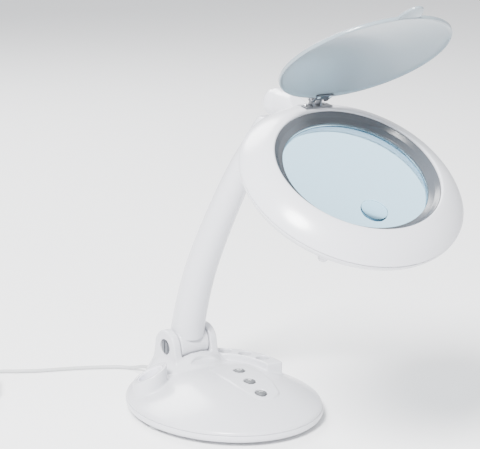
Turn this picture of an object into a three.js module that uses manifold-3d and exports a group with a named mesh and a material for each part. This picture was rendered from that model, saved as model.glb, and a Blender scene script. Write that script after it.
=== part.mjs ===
// A magnifying table lamp with an oval organiser base, a curved tilting arm, a ring head that
// swivels and tilts, and a flip-up lid over its lens. Millimetres, +Z up, the user sits at -Y.
import * as THREE from "three";
import { mergeVertices } from "three/addons/utils/BufferGeometryUtils.js";
import Module from "manifold-3d";

const wasm = await Module();
wasm.setup();

// ---- Driving dimensions -------------------------------------------------------------------
const GAP = 0.3; // clearance kept between touching pieces
const ROUND = 36; // sides of the large round pieces
const SMALL = 16; // sides of screws, pins and buttons

const BASE_CENTRE = [12.5, 92.5, 0]; // the base's middle, seen from the middle of the lamp's whole outline
const BASE_R = 88.5; // half the base's width; it is oval, longer from front to back
const BASE_LONG = 105; // half its length
const FOOT_H = 3.5;
const FOOT_R = 7;
const FOOT_SPOTS = [[78, 0, 0], [0, 86, 0], [-78, 0, 0], [0, -86, 0]];
const SKIRT_TOP = 11; // parting line between the pan and the domed shell
const PAN_FLOOR = 2.4;
const WALL = 2.6;
const DOME_TOP = 39.5;
const RIM_ROLL = 2.2; // height of the rounded edge of the dome
const BALLAST_R = 60;
const BALLAST_H = 5.2;
const PAN_SCREWS = [[38, -72, 0], [-38, -72, 0], [34, 76, 0], [-34, 76, 0]];

const CUP = { x: -58, y: 40, r: 16.5, bore: 12.4, top: 39, floor: 15, slant: 29, towards: -35 };
const RACK = { inner: 45.5, outer: 62.3, top: 40, from: -12, to: 62, bottom: 16 };
const RACK_HOLES = [46, 26, 6]; // degrees round the base
const RACK_HOLE_R = 6.4;
const SADDLE = { width: 42, front: 48, back: 36, low: 20, height: 29 };
const DISH = { x: -1.5, y: 12.5, r: 24, floor: 38.7, tilt: 6 };
const BUTTONS = { power_button: [12, -9.4], brighter_button: [5.6, -33.6], dimmer_button: [1.8, -55.4] };
const BUTTON_R = 5.4;
const STRIP_RISE = 0.5;
const STRIP_TILT = 2; // degrees: the button strip's top stands prouder on the right
const BOARD_Z = 17; // underside of the control board
const BOARD_SCREWS = [[-6, -20, 0], [17, -44, 0]];

const KNUCKLE = [0, 60.3, 53]; // pivot of the arm, from the base's middle
const EAR_R = 16.5;
const EAR_FOOT = 36; // the ears run this far down from the pivot, into the dome
const EAR_FLARE = 8;
const EAR_OUT = 26; // outer faces of the clevis ears
const EAR_IN = 17.8;
const BOLT_R = 4;

// Middle line of the arm in the YZ plane, from the lower pivot to the neck, and its radii.
const ARM_LINE = [[60.3, 53], [55.3, 77], [37.3, 129], [5.8, 188], [-29.7, 243], [-55.7, 275], [-71, 296.5]];
const ARM_R_LOW = 16.8;
const ARM_R_TOP = 11.6;
const ARM_END = 0.94; // share of the line's length where the tube ends and its end piece begins
const ARM_WALL = 3;
const SPINE_R = 4;

const NECK = [0, -79.5, 311]; // where the head swivels and tilts
const NECK_R = 12;
const SWIVEL = THREE.MathUtils.degToRad(-9);
const TILT = THREE.MathUtils.degToRad(32);
const RING_CENTRE = [0, -130, 42]; // the lens axis at the opening's lip, from the neck
const RING_OUT = 96.4;
const LIP_R = 71;
const CROWN = -0.6; // the ring's highest edge, just outside its lip
const CROWN_R = 72.5;
const RING_DEPTH = 32.3;
const RING_SPLIT = -19; // widest level of the ring, where its two shells meet
const RING_OPENING = 84; // radius of the hole in its underside
const RING_WALL = 2.4;
const HEAD_SCREW_RING = 88;
const LENS_R = 65;
const VIEW_R = 62.5;
const LENS_RIM = -10; // top of the lens's edge, below the lip
const INSERT = { x: -2, y: -38.5, r: 11.5 };

const LID_PIN = [0, 78.8, 6.9]; // lid hinge, from the lens axis at the lip
const LID_OPEN = THREE.MathUtils.degToRad(65);
const LID_R = 72;
const LID_REACH = 80.5; // hinge pin to the lid's middle
const LID_DROP = 3; // the lid's rim lies this far below the pin
const LID_RISE = 6;
const LID_WALL = 2.2;
const TAB_X = -1.5; // the finger tab sits a little to the left
const TAB_W = 20;
const TAB_TIP = 88.5;
const LEAF_Z = -4.7; // underside of the hinge leaf, from the pin
const LEAF_SIDES = [[-10.2, -6.8], [2.6, 6]]; // the leaf's two knuckles, along the pin
const CHEEKS = [[-6.4, -4.9], [0.7, 2.2]]; // the bracket's two, between them
const RIVETS = [-7.8, 3.6];
const RIVET_Y = -11;
const SLOPE = 26.6; // degrees the ring's top falls away under the hinge
const SLOPE_AT = [77.5, -2.7]; // a point of that slope

const CORD_R = 1.8;
const RELIEF_LENGTH = 24;
const CORD_Z = 8; // height at which the lead leaves the pan
// The lead's middle line from its strain relief to its coil, in the base's frame.
const CORD_ROUTE = [
  [0, 129.3, 8], [-0.3, 134, 7.4], [-1.2, 140, 5.7], [-2.8, 146.5, 3.5], [-5.6, 153, 2.2],
  [-10, 159, 1.9], [-16.5, 165, 1.9], [-25, 171, 1.9], [-36.9, 178.6, 1.9], [-50.2, 186.4, 1.9],
  [-64.4, 193.4, 1.9], [-77.5, 199.6, 1.9], [-89, 206, 1.9], [-100.1, 213.4, 1.9], [-111, 221.8, 1.9],
  [-121.5, 230.2, 1.9],
];
const COIL = { x: -154, y: 229, mid: 19.6, half: 9.1, height: 11.4 };
const SUPPLY = { x: -168, y: 178, turn: -29 };

// ---- Materials ----------------------------------------------------------------------------
const finish = (color, roughness, metalness = 0, extra = {}) =>
  new THREE.MeshStandardMaterial({ color, roughness, metalness, ...extra });
const whitePlastic = () => finish(0xf2f3f6, 0.32);
const greyPlastic = () => finish(0x8b8e94, 0.5);
const darkPlastic = () => finish(0x55585d, 0.55);
const innerPlastic = () => finish(0xb9bdc2, 0.5);
const lidPlastic = () => finish(0xb4bec8, 0.2);
const steel = () => finish(0xb8bbc0, 0.3, 1);
const darkSteel = () => finish(0x6a6d72, 0.35, 1);
const castIron = () => finish(0x3a3b3d, 0.7, 0.8);
const rubber = () => finish(0x2c2d2f, 0.8);
const boardGreen = () => finish(0x2f6b45, 0.6);
const boardWhite = () => finish(0xe8eae6, 0.6);
const clearGlass = () => finish(0xd6e8ef, 0.04, 0, { transparent: true, opacity: 0.4 });
const diffuser = () => finish(0xf4f6f2, 0.5, 0, { transparent: true, opacity: 0.9 });
const cordPlastic = () => finish(0xd9dcdf, 0.45);

// ---- Shapes -------------------------------------------------------------------------------
function solid(geometry) {
  const bare = (geometry.index ? geometry.toNonIndexed() : geometry.clone());
  for (const name of ["normal", "uv"]) bare.deleteAttribute(name);
  const merged = mergeVertices(bare, 1e-4);
  const mesh = new wasm.Mesh({
    numProp: 3,
    vertProperties: new Float32Array(merged.attributes.position.array),
    triVerts: new Uint32Array(merged.index.array),
  });
  return new wasm.Manifold(mesh);
}

function geometryOf(body) {
  const mesh = body.getMesh();
  const geometry = new THREE.BufferGeometry();
  geometry.setAttribute("position", new THREE.BufferAttribute(mesh.vertProperties, 3));
  geometry.setIndex(new THREE.BufferAttribute(mesh.triVerts, 1));
  geometry.computeVertexNormals();
  return geometry;
}

function piece(name, body, material) {
  const mesh = new THREE.Mesh(body.isBufferGeometry ? body : geometryOf(body), material);
  mesh.name = name;
  return mesh;
}

const joined = (bodies) => bodies.reduce((a, b) => a.add(b));
const without = (body, cuts) => cuts.reduce((a, b) => a.subtract(b), body);

// A profile of [radius, height] pairs turned about Z. It runs anticlockwise, so faces point out.
function turned(profile, sides = ROUND) {
  const area = profile.reduce((sum, [r, z], i) => {
    const [r2, z2] = profile[(i + 1) % profile.length];
    return sum + r * z2 - r2 * z;
  }, 0);
  const ordered = area > 0 ? profile : [...profile].reverse();
  const start = ordered.findIndex(([r], i) => r === 0 && ordered.at(i - 1)[0] === 0);
  const loop = start < 0 ? [...ordered, ordered[0]] : [...ordered.slice(start), ...ordered.slice(0, start)];
  const points = loop.map(([r, z]) => new THREE.Vector2(r, z));
  return solid(new THREE.LatheGeometry(points, sides).rotateX(Math.PI / 2));
}

const tube = (inner, outer, low, high, sides = SMALL) =>
  turned([[inner, low], [outer, low], [outer, high], [inner, high]], sides);

// A round bar standing on Z from low to high.
function bar(r, low, high, sides = SMALL) {
  const g = new THREE.CylinderGeometry(r, r, high - low, sides).rotateX(Math.PI / 2);
  return solid(g.translate(0, 0, (low + high) / 2));
}

// The same bar lying along X.
const crossBar = (r, low, high, sides = SMALL) => bar(r, low, high, sides).rotate([0, 90, 0]);

function block(x0, x1, y0, y1, z0, z1) {
  const g = new THREE.BoxGeometry(x1 - x0, y1 - y0, z1 - z0);
  return solid(g.translate((x0 + x1) / 2, (y0 + y1) / 2, (z0 + z1) / 2));
}

// A flat outline raised along Z from low to high.
function raised(shape, low, high, curveSegments = 12) {
  const g = new THREE.ExtrudeGeometry(shape, { depth: high - low, bevelEnabled: false, curveSegments });
  return solid(g.translate(0, 0, low));
}

// An outline in the YZ plane, spread along X from left to right.
function spread(shape, left, right, curveSegments = 12) {
  const g = new THREE.ExtrudeGeometry(shape, { depth: right - left, bevelEnabled: false, curveSegments });
  return solid(g.rotateY(Math.PI / 2).rotateX(Math.PI / 2).translate(left, 0, 0));
}

// A round bar along a curve whose radius changes on the way, closed at both ends.
function tapered(curve, radiusAt, from, to, steps, sides) {
  const positions = [];
  const side = new THREE.Vector3(1, 0, 0);
  for (let i = 0; i <= steps; i++) {
    const t = from + ((to - from) * i) / steps;
    const centre = curve.getPointAt(t);
    const up = new THREE.Vector3().crossVectors(curve.getTangentAt(t), side);
    for (let j = 0; j < sides; j++) {
      const a = (2 * Math.PI * j) / sides;
      const at = centre.clone();
      at.addScaledVector(side, radiusAt(t) * Math.cos(a)).addScaledVector(up, radiusAt(t) * Math.sin(a));
      positions.push(at.x, at.y, at.z);
    }
  }
  const first = positions.length / 3;
  for (const t of [from, to]) positions.push(...curve.getPointAt(t).toArray());
  const index = [];
  for (let j = 0; j < sides; j++) {
    const k = (j + 1) % sides;
    const last = steps * sides;
    index.push(first, k, j, first + 1, last + j, last + k);
    for (let i = 0; i < steps; i++) {
      const a = i * sides;
      const b = a + sides;
      index.push(a + j, a + k, b + k, a + j, b + k, b + j);
    }
  }
  const g = new THREE.BufferGeometry();
  g.setAttribute("position", new THREE.Float32BufferAttribute(positions, 3));
  g.setIndex(index);
  return solid(g);
}

const group = (position, ...children) => {
  const g = new THREE.Group();
  g.position.set(...position);
  g.add(...children);
  return g;
};

const around = (degrees, r, z = 0) => {
  const a = THREE.MathUtils.degToRad(degrees);
  return [r * Math.cos(a), r * Math.sin(a), z];
};

// Round bodies of the base are made round and then drawn out into its oval.
const STRETCH = BASE_LONG / BASE_R;
const oval = (body) => body.scale([1, STRETCH, 1]);

// ---- Base: pan, ballast, feet and screws --------------------------------------------------
const floorLow = FOOT_H + GAP;
const floorTop = floorLow + PAN_FLOOR;

function basePan() {
  const bowl = oval(turned([
    [0, floorLow], [BASE_R - 4, floorLow], [BASE_R - 1.2, floorLow + 1.2], [BASE_R, floorLow + 3.6],
    [BASE_R, SKIRT_TOP], [BASE_R - WALL, SKIRT_TOP], [BASE_R - WALL, floorTop], [0, floorTop],
  ]));
  const pads = PAN_SCREWS.map((p) => bar(7, floorTop - 0.5, floorTop + 2.2).translate(p));
  const cuts = PAN_SCREWS.flatMap((p) => [
    bar(2, floorLow - 1, floorTop + 5).translate(p),
    bar(4.1, floorLow - 1, floorLow + 2.4).translate(p),
  ]);
  const cordNotch = bar(4.4, -15, 15).rotate([90, 0, 0]).translate([0, BASE_LONG - 4, CORD_Z]);
  return without(joined([bowl, ...pads]), [...cuts, cordNotch]);
}

const ballast = () => oval(bar(BALLAST_R, floorTop + GAP, floorTop + GAP + BALLAST_H, ROUND));

const foot = () => turned([[0, 0], [FOOT_R - 1, 0], [FOOT_R, 1], [FOOT_R, FOOT_H], [0, FOOT_H]], SMALL);

function panScrew() {
  const low = floorLow + 0.2;
  return turned([
    [0, low], [3.7, low], [3.7, low + 1.9], [1.6, low + 1.9], [1.6, low + 10], [0, low + 11],
  ], 12);
}

// ---- Base: domed shell --------------------------------------------------------------------
// Height of the dome's skin at a share of its radius: a low bowl with a rolled edge.
const shellLow = SKIRT_TOP + GAP;
function domeZ(share, top = DOME_TOP) {
  const inside = 1 - Math.min(1, share) ** 2;
  return shellLow + RIM_ROLL * Math.sqrt(1 - Math.min(1, share) ** 16) + (top - shellLow - RIM_ROLL) * inside;
}

const shareAt = (x, y) => Math.hypot(x / BASE_R, y / BASE_LONG);

function dome(inset, top, low = shellLow, steps = 7) {
  const radius = BASE_R - inset;
  const skin = [[radius, low], [0, low]];
  for (let i = 0; i <= steps; i++) {
    const share = Math.sin((Math.PI / 2) * (i / steps));
    skin.push([i === steps ? radius : radius * share, domeZ(share, top)]);
  }
  if (low === shellLow) skin.pop();
  return oval(turned(skin));
}

// Everything that rises from the base stays within its oval outline.
const within = (body, inset = 0.6) => body.intersect(oval(bar(BASE_R - inset, shellLow, 90, ROUND)));

// An upright outline in the YZ plane round the arm's pivot: a round top on a spreading foot.
function earShape() {
  const shape = new THREE.Shape();
  shape.moveTo(-EAR_R - EAR_FLARE, -EAR_FOOT);
  shape.lineTo(EAR_R + EAR_FLARE, -EAR_FOOT);
  shape.lineTo(EAR_R, 0);
  shape.absarc(0, 0, EAR_R, 0, Math.PI, false);
  shape.closePath();
  return shape;
}

function rackShape() {
  const shape = new THREE.Shape();
  const [from, to] = [RACK.from, RACK.to].map((a) => THREE.MathUtils.degToRad(a));
  shape.absarc(0, 0, RACK.outer, from, to, false);
  shape.absarc(0, 0, RACK.inner, to, from, true);
  shape.closePath();
  return shape;
}

// The raised tongue that carries the buttons, seen from above.
function stripShape() {
  const shape = new THREE.Shape();
  shape.moveTo(-8, 14);
  shape.bezierCurveTo(-12, -10, -12, -40, -8, -60);
  shape.bezierCurveTo(-4, -68, 12, -68, 20, -60);
  shape.bezierCurveTo(28, -46, 31, -20, 36, 8);
  shape.closePath();
  return shape;
}

const [, knuckleY, knuckleZ] = KNUCKLE;

// The saddle that the ears rise from: an egg shape, longer towards the front.
function saddle() {
  const half = (long, from, to) => solid(new THREE.SphereGeometry(1, 22, 12).scale(SADDLE.width, long, SADDLE.height))
    .intersect(block(-60, 60, from, to, -2, 60));
  const egg = joined([half(SADDLE.front, -60, 0), half(SADDLE.back, -0.4, 60)]);
  const dish = bar(DISH.r, 0, 20, 32).rotate([DISH.tilt, 0, 0]).translate([DISH.x, DISH.y, DISH.floor]);
  return within(egg.translate([0, knuckleY, SADDLE.low])).subtract(dish);
}

// Half-space above the cup's slanted rim.
const aboveCup = (drop) => block(-60, 60, -60, 60, 0, 60).rotate([0, -CUP.slant, CUP.towards])
  .translate([CUP.x, CUP.y, CUP.top - drop]);

const rackHoleSpots = RACK_HOLES.map((a) => {
  const [x, y] = around(a, (RACK.inner + RACK.outer) / 2);
  return [x, y * STRETCH, 0];
});

function baseShell() {
  const cavity = dome(WALL, DOME_TOP - WALL, shellLow - 1);
  const ears = [[-EAR_OUT, -EAR_IN], [EAR_IN, EAR_OUT]].map(([a, b]) =>
    within(spread(earShape(), a, b, 8).translate([0, knuckleY, knuckleZ])));
  const cupPost = bar(CUP.r, CUP.floor - 2.5, 60, 28).translate([CUP.x, CUP.y, 0]);
  const rack = oval(raised(rackShape(), RACK.bottom, RACK.top, 14));
  const strip = dome(0, DOME_TOP + STRIP_RISE).rotate([0, -STRIP_TILT, 0])
    .intersect(raised(stripShape(), shellLow + 12, 60, 8));
  const bosses = PAN_SCREWS.map(([x, y]) =>
    bar(4.6, floorTop + 2.6, domeZ(shareAt(x, y) * 1.05) - 1).translate([x, y, 0]));
  const hooks = BOARD_SCREWS.map((p) => bar(3, BOARD_Z + 2.2, domeZ(shareAt(p[0], p[1])) - 1, 12).translate(p));
  const outside = joined([dome(0, DOME_TOP), saddle(), strip, rack, cupPost.subtract(aboveCup(0))]);
  const hollow = without(outside, [
    cavity.subtract(cupPost).subtract(rack),
    bar(CUP.bore, CUP.floor, 70, 28).translate([CUP.x, CUP.y, 0]),
    ...rackHoleSpots.map((p) => bar(RACK_HOLE_R, RACK.bottom + 3, 60).translate(p)),
    ...Object.values(BUTTONS).map((p) => bar(BUTTON_R + 0.4, 15, 60, 20).translate([...p, 0])),
  ]);
  const pivot = [0, knuckleY, knuckleZ];
  return without(joined([hollow, ...ears, ...bosses, ...hooks]), [
    crossBar(EAR_R + 1.2, -EAR_IN, EAR_IN, 32).translate(pivot),
    block(-EAR_IN, EAR_IN, knuckleY - EAR_R - 1.2, knuckleY + EAR_R + 1.2, knuckleZ, 90),
    crossBar(BOLT_R + GAP, -40, 40).translate(pivot),
    crossBar(7.8, -40, -EAR_OUT + 3.4, 24).translate(pivot),
    crossBar(7.8, EAR_OUT - 3.4, 40, 24).translate(pivot),
    ...PAN_SCREWS.map((p) => bar(1.9, 0, floorLow + 13, 12).translate(p)),
    ...BOARD_SCREWS.map((p) => bar(1.3, 0, BOARD_Z + 8, 12).translate(p)),
    block(-5, 5, BASE_LONG - 8, BASE_LONG + 4, 0, shellLow + 1.2),
  ]);
}

// ---- Base: cup insert, control board and buttons ------------------------------------------
function penCup() {
  const r = CUP.bore - GAP;
  return turned([
    [0, CUP.floor + GAP], [r, CUP.floor + GAP], [r, 60], [r - 1.4, 60],
    [r - 1.4, CUP.floor + 2], [0, CUP.floor + 2],
  ], 28).translate([CUP.x, CUP.y, 0]).subtract(aboveCup(0.8));
}

function controlBoard() {
  const plate = block(-12, 24, -66, 0, BOARD_Z, BOARD_Z + 1.6);
  const switches = Object.values(BUTTONS).map(([x, y]) =>
    block(x - 3, x + 3, y - 3, y + 3, BOARD_Z + 1.5, BOARD_Z + 5));
  const holes = BOARD_SCREWS.map((p) => bar(1.5, 0, 60).translate(p));
  return without(joined([plate, ...switches]), holes);
}

const boardScrew = () => turned([
  [0, BOARD_Z - 1.9], [2.6, BOARD_Z - 1.9], [2.6, BOARD_Z - GAP], [1, BOARD_Z - GAP],
  [1, BOARD_Z + 7], [0, BOARD_Z + 7],
], 12);

// A button: crowned cap on a stem, with a flange that stops it under the shell.
function button([x, y]) {
  const share = shareAt(x, y);
  const top = domeZ(share, DOME_TOP + STRIP_RISE) + x * Math.tan(THREE.MathUtils.degToRad(STRIP_TILT)) + 1;
  const flange = domeZ(share * 1.1, DOME_TOP - WALL) - 1.6;
  return turned([
    [0, BOARD_Z + 6.2], [2, BOARD_Z + 6.2], [2, flange - 1.4], [BUTTON_R + 1.2, flange - 1.4],
    [BUTTON_R + 1.2, flange], [BUTTON_R, flange], [BUTTON_R, top - 0.8], [BUTTON_R - 0.8, top], [0, top + 0.3],
  ], 20).translate([x, y, 0]);
}

// The tapered sleeve that guards the lead where it leaves the pan.
function strainRelief() {
  return turned([
    [0, -7], [4, -7], [4, 0.6], [3.8, 2], [2.6, RELIEF_LENGTH - 1], [2.2, RELIEF_LENGTH], [0, RELIEF_LENGTH],
  ], SMALL).rotate([-90, 0, 0]).translate([0, BASE_LONG, CORD_Z]);
}

// ---- Lower knuckle and arm ----------------------------------------------------------------
const armCurve = new THREE.CatmullRomCurve3(ARM_LINE.map(([y, z]) => new THREE.Vector3(0, y, z)));
const armR = (t) => ARM_R_LOW + (ARM_R_TOP - ARM_R_LOW) * t;
const LEAD_BACK = -6.6; // the head's lead runs this far behind the arm's middle line

// The head's supply lead, beside the spine and behind it.
const leadCurve = new THREE.CatmullRomCurve3(
  [0.09, 0.25, 0.45, 0.65, 0.78, 0.87].map((t) => {
    const n = new THREE.Vector3().crossVectors(armCurve.getTangentAt(t), new THREE.Vector3(1, 0, 0));
    return armCurve.getPointAt(t).addScaledVector(n, LEAD_BACK);
  }),
);

function armFoot() {
  const barrel = crossBar(EAR_R - 0.5, -EAR_IN + 1.4, EAR_IN - 1.4, 32).translate(KNUCKLE);
  const spigot = tapered(armCurve, (t) => armR(t) - ARM_WALL - 2 * GAP, 0.01, 0.17, 4, 16);
  return without(joined([barrel, spigot]), [
    crossBar(BOLT_R + GAP, -40, 40).translate(KNUCKLE),
    tapered(armCurve, () => SPINE_R + GAP, 0.1, 0.3, 4, 10),
    tapered(leadCurve, () => 1.9, 0, 0.5, 6, 8),
  ]);
}

function armTube() {
  const skin = tapered(armCurve, armR, 0.02, ARM_END, 14, 20);
  const hollow = tapered(armCurve, (t) => armR(t) - ARM_WALL, 0, 1, 14, 16);
  return without(skin, [hollow, crossBar(EAR_R, -40, 40, 32).translate(KNUCKLE)]);
}

const armSpine = () => tapered(armCurve, () => SPINE_R, 0.11, 0.88, 12, 8);
const armLead = () => tapered(leadCurve, () => 1.4, 0.02, 0.99, 10, 6);

// End piece of the arm: a plug in the tube and an upright socket that the neck's post turns in.
function armSocket() {
  const plug = tapered(armCurve, (t) => armR(t) - ARM_WALL - 2 * GAP, 0.9, ARM_END + 0.01, 2, 16);
  const rounding = (t) => armR(t) - 4.6 * ((t - ARM_END) / (1 - ARM_END)) ** 2;
  const collar = tapered(armCurve, rounding, ARM_END + 0.001, 1, 4, 20);
  const boss = bar(7.4, -24, -12, 20).translate(NECK);
  const clearTube = tapered(armCurve, () => ARM_R_TOP + 6, 0.8, ARM_END + 0.001, 3, 12);
  return without(joined([plug, collar, boss.subtract(clearTube)]), [
    block(-30, 30, -30, 30, -14.5, 20).translate(NECK),
    bar(4.3, -23, 0, 16).translate(NECK),
  ]);
}

function pivotBolt() {
  return turned([
    [0, -EAR_OUT + 0.8], [6.6, -EAR_OUT + 0.8], [6.6, -EAR_OUT + 3], [BOLT_R, -EAR_OUT + 3],
    [BOLT_R, EAR_OUT - 0.6], [0, EAR_OUT - 0.6],
  ], SMALL).subtract(block(-7, 7, -0.9, 0.9, -EAR_OUT, -EAR_OUT + 1.8)).rotate([0, 90, 0]).translate(KNUCKLE);
}

const pivotNut = () => bar(6.8, EAR_OUT - 3.1, EAR_OUT - 0.9, 6).subtract(bar(BOLT_R + GAP, 0, 40))
  .rotate([0, 90, 0]).translate(KNUCKLE);

const frictionWasher = (side) =>
  tube(BOLT_R + GAP, 13, -0.35, 0.35, 24).rotate([0, 90, 0]).translate([side * (EAR_IN - 0.7), knuckleY, knuckleZ]);

// ---- Neck: swivel knuckle and tilt pin (frame: neck, turned by SWIVEL) --------------------
const neckKnuckle = () =>
  joined([crossBar(7.4, -4, 4, 24), bar(4, -22, -3, 14)]).subtract(crossBar(2.4 + GAP, -10, 10));

const neckPin = () => crossBar(2.4, -NECK_R + 2.2, NECK_R - 2.2);

// ---- Head (frame: the lens axis at the lip of the ring's opening) -------------------------
// Part of the ring's section: 90 degrees is the crown by the lip, 0 the widest level, where the two
// shells meet, and -90 the underside. The top is a full slope, the underside is round.
function ringArc(from, to, inset, steps) {
  const points = [];
  for (let i = 0; i <= steps; i++) {
    const a = THREE.MathUtils.degToRad(from + ((to - from) * i) / steps);
    const power = a > 0 ? 1.5 : 1.04;
    const height = (a > 0 ? CROWN - RING_SPLIT : RING_SPLIT + RING_DEPTH) - inset;
    points.push([
      CROWN_R + (RING_OUT - CROWN_R - inset) * Math.cos(a) ** power,
      RING_SPLIT + height * Math.sign(a) * Math.abs(Math.sin(a)) ** power,
    ]);
  }
  return points;
}

const headScrewSpots = [48, 138, 228, 318].map((a) => around(a, HEAD_SCREW_RING));

// The hinge's plate lies on the ring's sloping top, screwed through it.
const onSlope = (body) => body.rotate([-SLOPE, 0, 0]).translate([0, SLOPE_AT[0], SLOPE_AT[1]]);
const hingeScrewSpots = [-9.6, 8.2];

function upperShell() {
  const split = RING_SPLIT + GAP;
  const shell = turned([
    [CROWN_R + 1.6, -4.4], [LIP_R + 0.3, -4], [LIP_R, -2], [LIP_R + 0.4, -1],
    ...ringArc(88, 8, 0, 6), [RING_OUT, split], [RING_OUT - RING_WALL, split], ...ringArc(8, 72, RING_WALL, 4),
  ]);
  const bosses = headScrewSpots.map((p) => bar(3, split + 1, -10, 12).translate(p));
  return without(joined([shell, ...bosses]), [
    ...headScrewSpots.map((p) => bar(1.5, RING_SPLIT - 1, -11.8, 12).translate(p)),
    ...hingeScrewSpots.map((x) => onSlope(bar(1.3, -6, 3, 12).translate([x, 2.6, 0]))),
  ]);
}

// Lower shell with the neck bar that reaches back and down to the neck's ball.
function lowerShell() {
  const rim = [RING_OPENING, -RING_DEPTH + 1.8];
  const ring = turned([
    ...ringArc(0, -60, 0, 4), rim, [rim[0], rim[1] + RING_WALL], ...ringArc(-52, 0, RING_WALL, 4),
  ]);
  const interior = turned([...ringArc(0, -52, RING_WALL, 4), [0, rim[1] + RING_WALL], [0, RING_SPLIT]]);
  const [, backY, backZ] = RING_CENTRE.map((v) => -v);
  const neckLine = new THREE.CatmullRomCurve3([
    new THREE.Vector3(0, 88, RING_SPLIT - 5), new THREE.Vector3(0, 102, RING_SPLIT - 8),
    new THREE.Vector3(0, 116, RING_SPLIT - 14), new THREE.Vector3(0, backY, backZ),
  ]);
  const bridge = tapered(neckLine, (t) => 9.5 + 2.5 * t, 0.05, 1, 5, 20)
    .intersect(bar(200, -200, RING_SPLIT, 8)).subtract(interior);
  const at = [0, backY, backZ];
  const ball = solid(new THREE.SphereGeometry(NECK_R, 20, 14)).translate(at);
  const slot = joined([
    block(-4.6, 4.6, -10, 10, -9, 9), block(-4.6, 4.6, -10, 30, -40, 9), block(-4.6, 4.6, -16, 4, -40, -2),
  ]).translate(at);
  const pads = headScrewSpots.map((p) => bar(4.1, -31.2, -26.6, 16).translate(p));
  return without(joined([ring, bridge, ball, ...pads]), [
    slot,
    crossBar(2.4 + GAP, -14, 14).translate(at),
    ...headScrewSpots.map((p) => bar(1.5, -60, 0, 12).translate(p)),
    ...headScrewSpots.map((p) => bar(2.9, -60, -29.5, 12).translate(p)),
  ]);
}

// The stepped wall between the lip and the lens.
const bezel = () => turned([
  [LIP_R - 0.3, -2.2], [LIP_R - 0.3, -4.3], [LIP_R + 1.2, -4.8], [LIP_R + 1.2, -14.6], [VIEW_R + 3.2, -14.6],
  [VIEW_R + 3.2, LENS_RIM - 1], [VIEW_R + 3, LENS_RIM + GAP], [VIEW_R, LENS_RIM + GAP], [VIEW_R, LENS_RIM + 1.5],
  [VIEW_R + 4.5, LENS_RIM + 4.2], [LIP_R - 2, -3.4],
]);

// A biconvex lens with a flat rim and a pocket for the small lens.
function mainLens() {
  const face = (level, rise, sign) => {
    const points = [];
    for (let i = 0; i <= 4; i++) {
      const share = i / 4;
      points.push([VIEW_R * share, level + sign * rise * (1 - share ** 2)]);
    }
    return points;
  };
  const pocket = bar(INSERT.r + GAP, LENS_RIM - 20, LENS_RIM - 2.4, 24).translate([INSERT.x, INSERT.y, 0]);
  return turned([
    ...face(LENS_RIM, 2.8, 1), [LENS_R, LENS_RIM], [LENS_R, LENS_RIM - 3], ...face(LENS_RIM - 3, 3.4, -1).reverse(),
  ]).subtract(pocket);
}

// The small strong lens set into the main lens's underside.
function insertLens() {
  const [low, top] = [LENS_RIM - 5, LENS_RIM - 2.4 - GAP];
  return turned([[0, low - 2.6], [INSERT.r * 0.5, low - 2], [INSERT.r, low], [INSERT.r, top], [0, top]], 24)
    .translate([INSERT.x, INSERT.y, 0]);
}

const lensRing = () => tube(VIEW_R - 0.5, VIEW_R + 2.9, -17.4, LENS_RIM - 3 - GAP, ROUND);
const ledBoard = () => tube(68.5, 80.2, -20, -18.6, ROUND);
const diffuserRing = () => turned([
  [66, -24.5], [70, -28.2], [80, -29.6], [83.4, -29.6], [83.4, -27.9], [80.4, -27.9], [71, -26.5], [67.6, -23.8],
]);

// Cylinder wall that carries the lens ring, the light board and the diffuser.
const lightFrame = () => turned([
  [66, -14.9], [82, -14.9], [82, -19.4], [80.6, -19.4], [80.6, -16.3], [67.6, -16.3], [67.6, -23.4], [66, -23.4],
]);

const headScrew = () => turned([
  [0, -31], [2.6, -31], [2.6, -29.8], [1.2, -29.8], [1.2, -12.4], [0, -12.4],
], 12);

// A thin cover over the wiring, on the ring's crown behind the hinge.
const hingeCover = () => turned([...ringArc(50, 20, -1.4, 3), ...ringArc(20, 50, -GAP, 3)])
  .intersect(block(-7.4, 7.4, 80, 100, -20, 20));

// ---- Lid hinge and lid --------------------------------------------------------------------
function hingeBracket() {
  const [, pinY, pinZ] = LID_PIN;
  const plate = onSlope(block(-13, 13, -5, 5, GAP, GAP + 1.1));
  const cheek = new THREE.Shape();
  cheek.moveTo(pinY - 5, -0.6);
  cheek.lineTo(pinY + 3.5, -3.6);
  cheek.lineTo(pinY + 2.6, pinZ + 1);
  cheek.absarc(pinY, pinZ, 2.6, 0.4, Math.PI - 0.4, false);
  cheek.closePath();
  const cheeks = CHEEKS.map(([a, b]) => spread(cheek, a, b, 5));
  return without(joined([plate, ...cheeks]), [
    crossBar(1.3, -20, 20, 12).translate(LID_PIN),
    ...hingeScrewSpots.map((x) => onSlope(bar(1.3, -6, 3, 12).translate([x, 2.6, 0]))),
  ]);
}

const hingeScrew = (x) => onSlope(turned([
  [0, -4], [1, -3], [1, 2 * GAP + 1.1], [1.9, 2 * GAP + 1.1], [1.3, 2 * GAP + 2], [0, 2 * GAP + 2],
], 12).translate([x, 2.6, 0]));

const lidPin = () => crossBar(1.1, -10.8, 6.6, 12);

// Frame of the next four: the hinge pin, with the lid reaching towards -Y.
const rivetHoles = (r, low, high) => RIVETS.map((x) => bar(r, low, high, 12).translate([x, RIVET_Y, 0]));

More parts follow.
